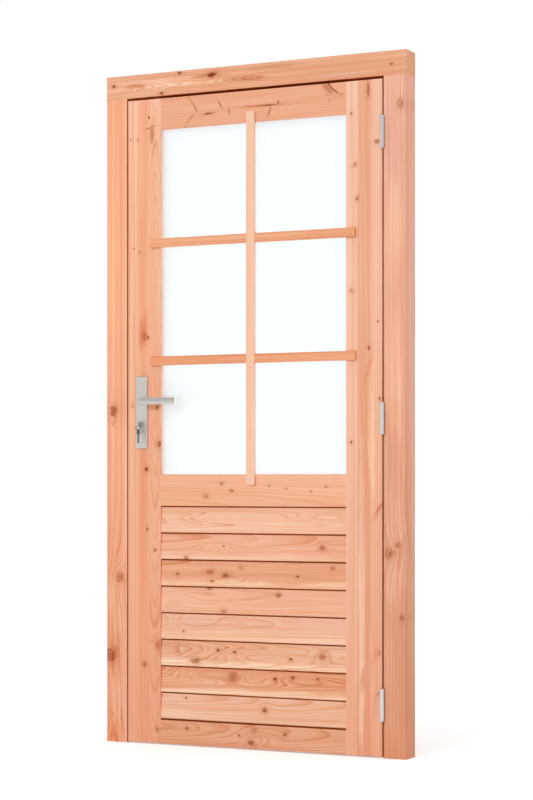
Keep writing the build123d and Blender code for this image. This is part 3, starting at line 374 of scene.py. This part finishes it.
def add_patches(tree, place, values, patches, grain):
    """Lays the patches over a piece, their ragged edges drawn out along the grain."""
    along_scale, across_scale, depth_scale = 9.0, 60.0, 40.0
    scales = (along_scale, depth_scale, across_scale)
    if grain == "Z":
        scales = (across_scale, depth_scale, along_scale)
    drawn = step(tree, "VectorMath", [place, scales], operation="MULTIPLY").outputs[0]
    ragged = step(tree, "TexNoise", {"Vector": drawn, "Scale": 1.0, "Detail": 2.0}).outputs[0]
    for area in patches:
        values["Wood"] = placed(tree, patch_group, {**area, "Along": values["Along"],
                                                    "Across": values["Across"], "Ragged": ragged,
                                                    "Wood In": values["Wood"]})["Wood"]


def gap_shade_mask(tree, axes, along, amount, bounds):
    """The painted shade of the faces in the gaps, as an output: its amount within all the bounds, nothing
    outside.
    """
    if isinstance(amount, tuple):
        amount = ramp(tree, along, GAP_SHADE_TOP, GAP_SHADE_FOOT, *amount)
    for axis, (low, high) in bounds.items():
        inside = sums(tree, "COMPARE", axes[axis], metres(low + high) / 2.0, metres(high - low) / 2.0)
        amount = sums(tree, "MULTIPLY", amount, inside)
    return amount


def dress(name, material):
    """Puts a material on every slot of a node."""
    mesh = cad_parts[name].data
    if not mesh.materials:
        mesh.materials.append(material)
    for index in range(len(mesh.materials)):
        mesh.materials[index] = material


# The heights, in metres, between which the figure, the colour and the painted gap shade of an upright go from
# those of its top to those of its foot. Its colour darkening towards the foot is painted light falloff.
FIGURE_TOP, FIGURE_FOOT = 1.35, 0.75
FALLOFF_TOP, FALLOFF_FOOT = 1.5, 0.1
GAP_SHADE_TOP, GAP_SHADE_FOOT = 1.35, 0.6


def timber(name, grain, wood, seed, rings, marks=(), strips=(), patches=(), joint=None, shaded_foot=None, figure=1.0,
           streaks=1.0):
    """Gives a node its own softwood. grain is the axis it runs along and wood its middle colour. rings come
    from rings_of, marks from knot, swirl and crack, strips from strip, patches from patch, and
    joint, which says which faces lie in the gaps and how much painted shade darkens them, from
    gap_shade_amount. shaded_foot is the colour that the first strip of an upright turns to at the floor, a
    painted falloff of light, with the other strips darkened alike. figure is how marked the rings are, as one
    number or as two for the top and the bottom, and streaks how streaked the wood is along the grain."""
    material = bpy.data.materials.new(name)
    material.use_nodes = True
    tree = material.node_tree
    shader = tree.nodes["Principled BSDF"]
    place = step(tree, "TexCoord").outputs["Object"]
    axes = step(tree, "SeparateXYZ", [place]).outputs
    along, across = (axes["Z"], axes["X"]) if grain == "Z" else (axes["X"], axes["Z"])
    values = {"Along": along, "Across": across, "Depth": axes["Y"], "Seed": float(seed), **rings,
              "Wood": linear(*wood), "Figure": figure, "Streaks": streaks}
    if isinstance(figure, tuple):
        values["Figure"] = ramp(tree, along, FIGURE_TOP, FIGURE_FOOT, *figure)
    if marks:
        add_marks(tree, place, values, marks)
    add_strips(tree, values, strips)
    # Painted light falloff: an upright's colour darkens towards the floor, where the light falls off.
    if shaded_foot:
        falloff_tint = tuple(end / start for end, start in zip(linear(*shaded_foot), linear(*wood)))
        light_falloff = ramp(tree, along, FALLOFF_TOP, FALLOFF_FOOT)
        values["Wood"] = mixed(tree, light_falloff, values["Wood"], falloff_tint, "MULTIPLY")
    if patches:
        add_patches(tree, place, values, patches, grain)
    # Painted shade on the faces that lie in the gaps and grooves.
    if joint:
        values["Painted Gap Shade"] = gap_shade_mask(tree, axes, along, *joint)
    found = placed(tree, softwood_group, values)
    tree.links.new(found["Color"], shader.inputs["Base Color"])
    tree.links.new(found["Roughness"], shader.inputs["Roughness"])
    bump = step(tree, "Bump", {"Strength": 0.25, "Distance": metres(0.4), "Height": found["Height"]})
    tree.links.new(bump.outputs[0], shader.inputs["Normal"])
    shader.inputs["Specular IOR Level"].default_value = 0.25
    dress(name, material)


# Faces that lie in the gaps get painted shade, darker and browner than the front. Those of the frame lie
# beside and above the leaf's edges, and reach back to the stop. The painted shade starts just before each
# edge, and BEYOND is outside the piece.
SIDE_GAP, TOP_GAP, STOP_GAP = 4.0, 8.0, 3.5
BEFORE_FRAME_EDGE, BEFORE_LEAF_EDGE, BEYOND = 0.4, 0.5, 10.0
leaf_left, leaf_front, _ = (1000.0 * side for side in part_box("left_stile")[0])
leaf_right, leaf_back, leaf_top = (1000.0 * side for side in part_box("right_stile")[1])
left_rebate = leaf_left - SIDE_GAP - BEFORE_FRAME_EDGE
right_rebate = leaf_right + SIDE_GAP + BEFORE_FRAME_EDGE
top_rebate = leaf_top + TOP_GAP + BEFORE_FRAME_EDGE
in_rebate = (leaf_front - BEYOND, leaf_back + STOP_GAP + BEFORE_LEAF_EDGE)

# The rebates of the jambs and head get painted shade, and the jambs' colour darkens towards the floor as
# painted light falloff.
timber("left_jamb", "Z", (251, 181, 144), seed=1, rings=rings_of(7.5, -560, 30), shaded_foot=(233, 163, 128),
       figure=(0.7, 1.1), streaks=0.8,
       joint=gap_shade_amount((0.5, 0.1), X=(left_rebate, 0), Y=in_rebate),
       marks=[knot(1044, -486, 11, dark=0.85, open=0.45, stretch=1.4, rise=5),
              knot(520, -462, 12, dark=0.6, open=1.0, stretch=1.2, flow=2.6, hill=5, rise=18),
              knot(274, -499, 14, dark=0.7, open=0.5, stretch=1.5, rise=14),
              swirl(10, -484, 75, 10, rise=-26), swirl(400, -474, 80, 24, rise=14),
              swirl(640, -478, 110, 14, rise=10), crack(1010, -484, 14, turn=45, dark=0.4),
              crack(1002, -490, 14, turn=-45, dark=0.4)],
       patches=[patch(1500, -492, 330, 9, (255, 188, 144)), patch(470, -492, 60, 16, (243, 184, 148)),
                patch(395, -472, 50, 20, (240, 180, 144)), patch(30, -484, 62, 24, (231, 150, 108)),
                patch(28, -489, 26, 6, (216, 124, 86), turn=14),
                patch(16, -477, 30, 5, (214, 124, 84), turn=-16),
                patch(60, -453, 50, 5, (222, 142, 96), turn=-6),
                patch(274, -482, 28, 12, (214, 128, 88), turn=12),
                patch(170, -480, 40, 24, (238, 172, 138))])
timber("right_jamb", "Z", (238, 175, 145), seed=2, rings=rings_of(3.6, 640, 60), shaded_foot=(216, 143, 107),
       figure=(1.05, 1.4), streaks=0.8,
       joint=gap_shade_amount((0.35, 0.7), X=(0, right_rebate), Y=in_rebate),
       marks=[knot(1940, 493, 12, dark=0.45, open=1.0, stretch=1.1),
              knot(608, 457, 13, dark=0.6, open=1.0, stretch=1.1, hill=5, rise=16),
              knot(634, 482, 8, dark=0.4, open=0.3, stretch=1.1),
              knot(418, 496, 6, dark=0.8, open=1.0, stretch=1.0)],
       patches=[patch(1570, 470, 150, 30, (247, 189, 157)), patch(1830, 470, 110, 34, (234, 168, 142)),
                patch(1150, 474, 200, 30, (245, 184, 151)), patch(640, 474, 200, 36, (232, 170, 139)),
                patch(608, 492, 60, 10, (224, 154, 121), turn=12)])
timber("head", "X", (235, 168, 131), seed=3, rings=rings_of(5.5, 2058, -9), figure=1.15, streaks=1.4,
       joint=gap_shade_amount(0.85, Z=(0, top_rebate), Y=in_rebate),
       marks=[knot(-485, 2070, 4, dark=1.0, stretch=1.2), knot(-249, 2093, 4, dark=0.8, stretch=1.5),
              knot(-136, 2078, 7, dark=1.0, stretch=1.9, turn=8, rise=6),
              knot(-313, 2035, 4, dark=0.8, stretch=1.5), knot(462, 2060, 3, dark=0.6, stretch=1.5),
              swirl(-200, 2062, 170, 90, rise=30)],
       patches=[patch(-230, 2064, 150, 15, (244, 184, 147)), patch(-405, 2064, 36, 7, (221, 145, 104)),
                patch(-29, 2058, 70, 9, (216, 140, 99), turn=-2),
                patch(-160, 2078, 50, 6, (218, 142, 102), turn=4),
                patch(60, 2086, 120, 7, (218, 146, 108), turn=1),
                patch(300, 2040, 120, 9, (234, 178, 147))])


# Corner screws of the frame and the screws that hold it in the wall: bright zinc-plated steel, driven through
# the head into the end of each jamb, and through the jambs.
def plain(name, colour, roughness, metal=1.0, scale=60.0, spread=0.06):
    """A plain finish. Fine noise with this many cells in a metre makes its colour lighter and darker by the
    spread, and its roughness a little more and less."""
    roughness_swing = 0.05
    material = bpy.data.materials.new(name)
    material.use_nodes = True
    tree = material.node_tree
    shader = tree.nodes["Principled BSDF"]
    place = step(tree, "TexCoord").outputs["Object"]
    noise = step(tree, "TexNoise", {"Vector": place, "Scale": scale, "Detail": 3.0}).outputs[0]
    low = tuple(part * (1.0 - spread) for part in linear(*colour)[:3]) + (1.0,)
    high = tuple(min(part * (1.0 + spread), 1.0) for part in linear(*colour)[:3]) + (1.0,)
    tree.links.new(mixed(tree, noise, low, high), shader.inputs["Base Color"])
    uneven = ramp(tree, noise, 0.0, 1.0, roughness - roughness_swing, roughness + roughness_swing)
    tree.links.new(uneven, shader.inputs["Roughness"])
    shader.inputs["Metallic"].default_value = metal
    return material


screw_steel = plain("screw_steel", (186, 184, 178), 0.35, scale=300.0)
dress("corner_screws", screw_steel)
dress("frame_screws", screw_steel)

# Weather seal: dark rubber, extruded as a rounded lip on a stem, which is pushed into the groove in the front
# of the stop, up both jambs and along the head.
rubber = plain("dark_rubber", (48, 30, 24), 0.8, metal=0.0, scale=200.0, spread=0.15)
dress("weather_seal", rubber)

# Strike plate: bright steel punched from sheet with holes for latch and bolt, let in flush with the rebate of
# the lock jamb and screwed there.
bright_steel = plain("bright_steel", (182, 180, 176), 0.35, scale=150.0)
dress("strike_plate", bright_steel)

# Hinges: three butt hinges of satin zinc-plated steel. Their leaves are let into jamb and stile and screwed,
# and the barrel with its capped pin stands in front of the gap.
satin_zinc = plain("satin_zinc", (220, 219, 220), 0.42, scale=120.0, spread=0.05)
for height in ("top", "middle", "bottom"):
    for piece in ("jamb_leaf", "pin", "door_leaf"):
        dress(f"{height}_hinge_{piece}", satin_zinc)

# Stiles of the leaf: softwood, each glued up side by side from three strips, so colour and rings change at
# the glue lines, then planed and rebated for panel and glass. Their outer edges lie in the gap and get
# painted shade there, and their colour darkens towards the floor as painted light falloff.
left_edge = (leaf_left - BEYOND, leaf_left + BEFORE_LEAF_EDGE)
right_edge = (leaf_right - BEFORE_LEAF_EDGE, leaf_right + BEYOND)
timber("left_stile", "Z", (251, 190, 155), seed=4, rings=rings_of(7.0, -500, 30, 0.01),
       shaded_foot=(236, 170, 136), figure=(0.7, 0.4), streaks=0.7,
       joint=gap_shade_amount((0.5, 0.1), X=left_edge),
       strips=[strip(-399, 0, (247, 177, 141), rings_of(8.0, -300, 40), figure=0.4),
               strip(-357, 0, (247, 182, 147), rings_of(4.5, -336, -92, 0.055), figure=0.55)],
       marks=[knot(1962, -358, 3, dark=0.6, stretch=2.0, turn=-20),
              knot(1909, -347, 6, dark=0.4, open=0.3, stretch=4.0),
              crack(1930, -352, 34, turn=75, dark=0.5), knot(1898, -424, 2.5, dark=0.8, stretch=0.6),
              knot(1894, -398, 2.5, dark=0.5), knot(1555, -413, 2.5, dark=0.8, stretch=0.6),
              knot(1542, -391, 2.0, dark=0.7), knot(1277, -373, 12, dark=0.22, stretch=1.2),
              knot(1273, -361, 2.5, stretch=1.6), knot(1054, -329, 4, dark=0.7),
              knot(1060, -415, 6, dark=0.3, open=0.6), knot(939, -322, 6, dark=0.6, open=0.2, stretch=1.6),
              knot(861, -367, 5), knot(672, -364, 3, dark=0.7), knot(607, -337, 3),
              knot(313, -326, 9, dark=0.4, open=0.7, stretch=1.4, rise=6),
              knot(249, -374, 6, dark=0.6, open=0.4), knot(47, -329, 5, dark=0.6, open=0.6)],
       patches=[patch(1290, -378, 60, 18, (232, 146, 108)), patch(700, -385, 300, 12, (237, 160, 126)),
                patch(1750, -382, 150, 14, (249, 180, 144))])
timber("right_stile", "Z", (249, 196, 166), seed=5, rings=rings_of(7.0, 520, 40, -0.01),
       shaded_foot=(236, 174, 142), figure=0.5, streaks=0.8,
       joint=gap_shade_amount((0.35, 0.7), X=right_edge),
       strips=[strip(353, 0, (238, 172, 138), rings_of(7.0, 300, 60, 0.01)),
               strip(393, 0, (246, 188, 156), rings_of(8.0, 560, 30))],
       marks=[knot(1990, 388, 4, dark=0.5, stretch=6.0), knot(1922, 333, 3, dark=0.5),
              knot(1770, 345, 5, dark=0.4, open=0.2, turn=30),
              knot(1667, 351, 4, dark=0.6, open=0.2, stretch=1.6, turn=30),
              knot(1393, 333, 6, dark=0.4, open=0.5, stretch=1.0),
              knot(1298, 419, 3, dark=0.6, stretch=0.8), knot(1221, 390, 3.5, dark=0.8),
              knot(1069, 425, 3, dark=0.6), knot(313, 425, 5, dark=0.3, open=0.5),
              knot(1833, 416, 8, dark=0.45, stretch=0.8), swirl(250, 405, 110, 26, rise=26),
              crack(745, 424, 30, turn=32, dark=0.25, half_width=3),
              crack(200, 428, 30, turn=40, dark=0.5, half_width=2), knot(940, 333, 4, dark=0.5)],
       patches=[patch(430, 366, 520, 12, (241, 191, 158)), patch(735, 420, 42, 8, (231, 162, 130), turn=32),
                patch(300, 408, 60, 10, (228, 160, 128), turn=30),
                patch(245, 380, 50, 17, (226, 158, 126), turn=20),
                patch(1150, 386, 60, 8, (231, 158, 124), turn=18),
                patch(980, 400, 200, 12, (250, 196, 160))])

# Rails of the leaf: solid planed softwood, doweled and glued between the stiles. The bottom rail has a tongue
# for the lowest board, and the dowels are hidden in the joints.
TONGUE_HEIGHT, SHADOW_GAP, BEFORE_SHOULDER = 8.0, 4.5, 0.6
TONGUE_BACK, BEFORE_TONGUE_BACK = 2.0, 0.1
tongue_top = 1000.0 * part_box("bottom_rail")[1].z
# The faces in the lap over the bottom rail and the top edge of the top rail get painted shade.
in_lap = (tongue_top - TONGUE_HEIGHT - SHADOW_GAP - BEFORE_SHOULDER, tongue_top + BEYOND)
before_tongue_back = (leaf_front - BEYOND, TONGUE_BACK - BEFORE_TONGUE_BACK)
top_edge = (leaf_top - BEFORE_LEAF_EDGE, leaf_top + BEYOND)
timber("top_rail", "X", (239, 171, 136), seed=6, rings=rings_of(9.0, 2060, 70, 0.03), figure=0.4,
       streaks=0.6,
       joint=gap_shade_amount(0.85, Z=top_edge),
       marks=[crack(-211, 2005, 32, turn=-54, dark=0.3), crack(-195, 1981, 27, turn=-59, dark=0.6),
              crack(-207, 1952, 25, turn=43, dark=0.4), crack(-223, 1935, 23, turn=52, dark=0.25),
              crack(-148, 1959, 24, turn=5, half_width=2.2), crack(-108, 1984, 20, turn=-59, dark=0.8),
              crack(-77, 1962, 14, turn=-80, dark=0.5), crack(0, 1970, 60, dark=0.35), crack(53, 1969, 60),
              crack(91, 1976, 12, turn=80, dark=0.6), crack(62, 1953, 26, turn=67, dark=0.6),
              crack(263, 2011, 24, turn=-50), crack(280, 1994, 26, turn=-40),
              crack(256, 2003, 44, turn=-44, dark=0.3, half_width=7), knot(253, 1986, 2, dark=0.5),
              knot(303, 1983, 2, dark=0.5), knot(262, 1969, 2, dark=0.4)])
timber("lock_rail", "X", (243, 178, 142), seed=7, rings=rings_of(6.0, 740, 60, 0.03), figure=0.42,
       streaks=0.5,
       marks=[knot(-103, 816, 5, dark=0.5, open=0.7), knot(-68, 794, 4, dark=0.6, open=0.3),
              knot(-156, 777, 7, dark=0.3, open=0.4), knot(60, 809, 2.5, dark=0.5),
              knot(118, 800, 2.5, dark=0.5), knot(250, 806, 2.5, dark=0.5), knot(200, 792, 3, dark=0.3)])
timber("bottom_rail", "X", (225, 160, 125), seed=8, rings=rings_of(3.6, 60, 60, 0.03), figure=0.9,
       streaks=0.8,
       joint=gap_shade_amount(1.25, Z=in_lap, Y=before_tongue_back),
       marks=[knot(-223, 56, 4, dark=0.7, open=0.2), knot(-2, 23, 7, dark=0.7, open=0.3, rise=8),
              knot(113, 53, 5, dark=0.6, open=0.3), knot(-42, 42, 2.5, dark=0.8),
              knot(10, 62, 8, dark=0.4, open=0.6), swirl(30, 40, 60, 22, rise=14)])
timber("leaf_dowels", "X", (225, 170, 120), seed=28, rings=rings_of(2.0, 1500, 60))

# Boards of the lower panel: eight tapered softwood boards laid across, each one's lip over the tongue of the
# next below, their ends housed in the stiles. Some keep a pale edge of sapwood.
SET_BACK, TAPER, BEHIND_FACE = 1.0, 6.0, 0.1
# The faces behind the boards' fronts, in the grooves between them, get painted shade.
behind_face = (leaf_front + SET_BACK + TAPER + BEHIND_FACE, TONGUE_BACK - BEFORE_TONGUE_BACK)


def board(number, wood, rings, figure, marks, sapwood=None):
    """One board, counted from the top. sapwood is the height up to which the board is pale and how soft that
    edge is, both in millimetres, and the pale colour."""
    first, strips = wood, ()
    if sapwood:
        height, softness, first = sapwood
        strips = [strip(height, softness, wood)]
    timber(f"board_{number}", "X", first, seed=10 + number, rings=rings, marks=marks, strips=strips,
           joint=gap_shade_amount(1.25, Y=behind_face), figure=figure)


board(1, (241, 183, 149), rings_of(3.4, 700, 30, 0.02), figure=0.9,
      marks=[swirl(-130, 706, 190, 16, rise=9), swirl(250, 712, 110, 15, rise=12)])
board(2, (238, 171, 137), rings_of(3.4, 640, 60, 0.02), figure=0.9, sapwood=(595, 9, (245, 192, 160)),
      marks=[knot(236, 622, 7, dark=0.7, open=0.6, rise=3), swirl(-130, 625, 60, 9, rise=10),
             knot(-98, 623, 2, dark=1.0), knot(-227, 585, 5, dark=0.8, open=0.5)])
board(3, (232, 164, 128), rings_of(2.6, 575, 55, 0.02), figure=0.8, sapwood=(514, 6, (246, 194, 158)),
      marks=[knot(-258, 534, 4, dark=0.6, open=0.2),
             knot(-144, 541, 7, dark=0.6, open=0.6, stretch=1.6, rise=6),
             knot(-91, 533, 6, dark=0.8, open=0.4, stretch=1.6, rise=4),
             knot(-39, 557, 6, dark=0.3, open=0.5), knot(-137, 514, 3, dark=0.6, stretch=2.0),
             knot(154, 534, 2.5, dark=1.0), knot(269, 561, 5, dark=0.4, open=0.2),
             swirl(40, 530, 130, 20, rise=16)])
board(4, (240, 181, 148), rings_of(4.0, 470, 60, 0.02), figure=0.5,
      marks=[knot(-149, 493, 6, dark=0.5, open=0.3), knot(89, 475, 6, dark=0.6, open=0.3),
             knot(-96, 422, 6, dark=0.35, open=0.4), swirl(-270, 455, 70, 20, rise=10)])
board(5, (236, 178, 146), rings_of(4.0, 385, 40, 0.02), figure=0.75, sapwood=(358, 14, (243, 192, 159)),
      marks=[knot(-237, 356, 2, stretch=2.0), swirl(126, 396, 34, 12, rise=12),
             swirl(-200, 390, 90, 18, rise=12)])
board(6, (231, 171, 135), rings_of(3.0, 290, 50, 0.03), figure=1.2, sapwood=(268, 8, (245, 200, 166)),
      marks=[knot(-118, 302, 3.5, dark=1.0), knot(-60, 297, 3, dark=1.0, stretch=1.6),
             knot(-194, 266, 8, dark=0.8, open=0.8, stretch=1.7), knot(-258, 308, 5, dark=0.3, open=0.6),
             knot(131, 283, 3), knot(236, 294, 8, dark=0.6, open=0.6, rise=6),
             knot(-255, 290, 5, dark=0.25, open=0.6), swirl(30, 285, 160, 20, rise=12)])
board(7, (228, 158, 121), rings_of(2.8, 235, 45, 0.03), figure=1.2, sapwood=(182, 5, (240, 188, 152)),
      marks=[knot(-67, 223, 12, dark=0.5, open=0.6, stretch=1.2, hill=3, rise=10),
             knot(77, 220, 4, dark=0.8), knot(137, 227, 4, dark=0.8), knot(220, 226, 3, dark=0.7),
             swirl(-150, 228, 90, 18, rise=24), swirl(150, 222, 140, 18, rise=12)])
board(8, (234, 177, 143), rings_of(3.6, 150, 50, 0.02), figure=0.8, sapwood=(104, 10, (237, 187, 154)),
      marks=[knot(43, 123, 6, open=0.4, rise=5), knot(-230, 149, 2.5, dark=1.0)])

# Glass: one pane of satin float glass in the rebate of the light, on rubber blocks and tape, held from inside
# by four softwood beads mitred at the corners and pinned.
GLASS_TINT = (0.93, 0.97, 0.985, 1.0)
GLASS_ROUGHNESS, GLASS_BENDING = 0.8, 1.45
dress("glazing_tape", rubber)
dress("setting_blocks", rubber)
glass = bpy.data.materials.new("satin_glass")
glass.use_nodes = True
shader = glass.node_tree.nodes["Principled BSDF"]
shader.inputs["Base Color"].default_value = GLASS_TINT
shader.inputs["Roughness"].default_value = GLASS_ROUGHNESS
shader.inputs["Transmission Weight"].default_value = 1.0
shader.inputs["IOR"].default_value = GLASS_BENDING
dress("glass_pane", glass)
BEAD_WOOD = (240, 176, 140)
for seed, name, grain, heart_across in ((24, "bottom_bead", "X", 1500), (25, "top_bead", "X", 1500),
                                        (26, "left_bead", "Z", 400), (27, "right_bead", "Z", 400)):
    timber(name, grain, BEAD_WOOD, seed, rings_of(3.0, heart_across, 60))

# Bars: thin straight-grained softwood strips planted across the pane from outside and pinned at their ends.
# The upright one is notched behind, where it passes over the two cross bars.
timber("upright_bar", "Z", (248, 197, 166), seed=20, rings=rings_of(5.0, 60, 60), figure=0.4, streaks=0.5)
timber("lower_cross_bar", "X", (235, 158, 115), seed=21, rings=rings_of(3.0, 1100, 60), figure=1.0,
       streaks=1.2)
timber("upper_cross_bar", "X", (234, 158, 116), seed=22, rings=rings_of(3.0, 1500, 60), figure=1.0,
       streaks=1.2)
dress("panel_pins", screw_steel)

# Mortise lock: a steel case riveted up from sheet, let into the stile behind its forend and screwed, with its
# follower, spindle, sprung latch and dead bolt.
for name in ("lock_case", "lock_forend", "follower", "latch_bolt", "dead_bolt", "spindle"):
    dress(name, bright_steel)
dress("leaf_screws", screw_steel)

# Levers and plates: cast and milled aluminium with a satin finish. Each lever turns in its narrow plate, and
# two steel bolts draw the plates together through the stile.
satin_aluminium = plain("satin_aluminium", (217, 214, 210), 0.5, scale=200.0, spread=0.03)
for name in ("front_lever", "back_lever", "front_plate", "back_plate"):
    dress(name, satin_aluminium)
dress("plate_bolts", screw_steel)

# Cylinder and keys: a nickel-plated profile cylinder fixed by one long screw, a key in it, and on its ring of
# steel wire a second key, coloured darker than the first, that hangs down.
nickel = plain("nickel_plate", (196, 193, 188), 0.35)
for name in ("cylinder_body", "front_plug", "back_plug"):
    dress(name, nickel)
dress("cylinder_screw", screw_steel)
dress("key", plain("key_metal", (210, 210, 211), 0.4))
dress("spare_key", plain("darker_key_metal", (136, 139, 142), 0.4))
dress("key_ring", plain("ring_wire", (44, 42, 42), 0.45))

# Floor, plain and pale, and the light of a plain studio: soft lamps in front, above and behind on the right,
# and an even world. Camera and glass see the world as white, and gloss sees it darken upwards. For all three
# the floor glows a little, so that it looks as white as the world.
WHITE = (1.0, 1.0, 1.0, 1.0)
FLOOR_GREY = (0.86, 0.86, 0.86, 1.0)
FLOOR_REACH = 30.0
FLOOR_GLOW = 0.36
WORLD_LEVEL = 0.39
CEILING_FROM, CEILING_TO, CEILING_LEVEL = 0.1, 0.45, 0.42
mesh = bpy.data.meshes.new("floor")
corners = [(x * FLOOR_REACH, y * FLOOR_REACH, 0.0) for x, y in ((-1, -1), (1, -1), (1, 1), (-1, 1))]
mesh.from_pydata(corners, [], [(0, 1, 2, 3)])
floor = bpy.data.objects.new("floor", mesh)
bpy.context.scene.collection.objects.link(floor)
material = bpy.data.materials.new("pale_floor")
material.use_nodes = True
tree = material.node_tree
shader = tree.nodes["Principled BSDF"]
shader.inputs["Base Color"].default_value = FLOOR_GREY
shader.inputs["Roughness"].default_value = 0.9
shader.inputs["Emission Color"].default_value = WHITE
path = step(tree, "LightPath").outputs
seen = sums(tree, "MAXIMUM", sums(tree, "MAXIMUM", path["Is Camera Ray"], path["Is Glossy Ray"]),
            path["Is Transmission Ray"])
tree.links.new(sums(tree, "MULTIPLY", seen, FLOOR_GLOW), shader.inputs["Emission Strength"])
mesh.materials.append(material)

world = bpy.data.worlds.new("studio")
world.use_nodes = True
bpy.context.scene.world = world
tree = world.node_tree
background = tree.nodes["Background"]
background.inputs["Color"].default_value = WHITE
path = step(tree, "LightPath").outputs
height = step(tree, "SeparateXYZ", [step(tree, "TexCoord").outputs["Generated"]]).outputs["Z"]
seen = sums(tree, "MAXIMUM", path["Is Camera Ray"], path["Is Transmission Ray"])
ceiling = ramp(tree, height, CEILING_FROM, CEILING_TO, 1.0, CEILING_LEVEL)
shown = sums(tree, "MAXIMUM", seen, sums(tree, "MULTIPLY", path["Is Glossy Ray"], ceiling))
unseen = sums(tree, "SUBTRACT", 1.0, sums(tree, "MAXIMUM", seen, path["Is Glossy Ray"]))
tree.links.new(sums(tree, "MULTIPLY_ADD", unseen, WORLD_LEVEL, shown), background.inputs["Strength"])


def lamp(name, azimuth, elevation, strength, softness):
    """A soft far lamp. Azimuth turns from straight in front of the door towards its left side, elevation is
    the height above the floor, and softness the width of the light, all in degrees."""
    light = bpy.data.lights.new(name, "SUN")
    light.energy = strength
    light.angle = math.radians(softness)
    made = bpy.data.objects.new(name, light)
    made.rotation_euler = (math.radians(90.0 - elevation), 0.0, math.radians(-azimuth))
    made.visible_glossy = False
    bpy.context.scene.collection.objects.link(made)


lamp("key_light", azimuth=5.0, elevation=18.0, strength=1.175, softness=18.0)
lamp("fill_light", azimuth=-125.0, elevation=15.0, strength=1.0, softness=30.0)
lamp("top_light", azimuth=0.0, elevation=80.0, strength=0.963, softness=60.0)

bpy.context.scene.view_settings.view_transform = "Standard"
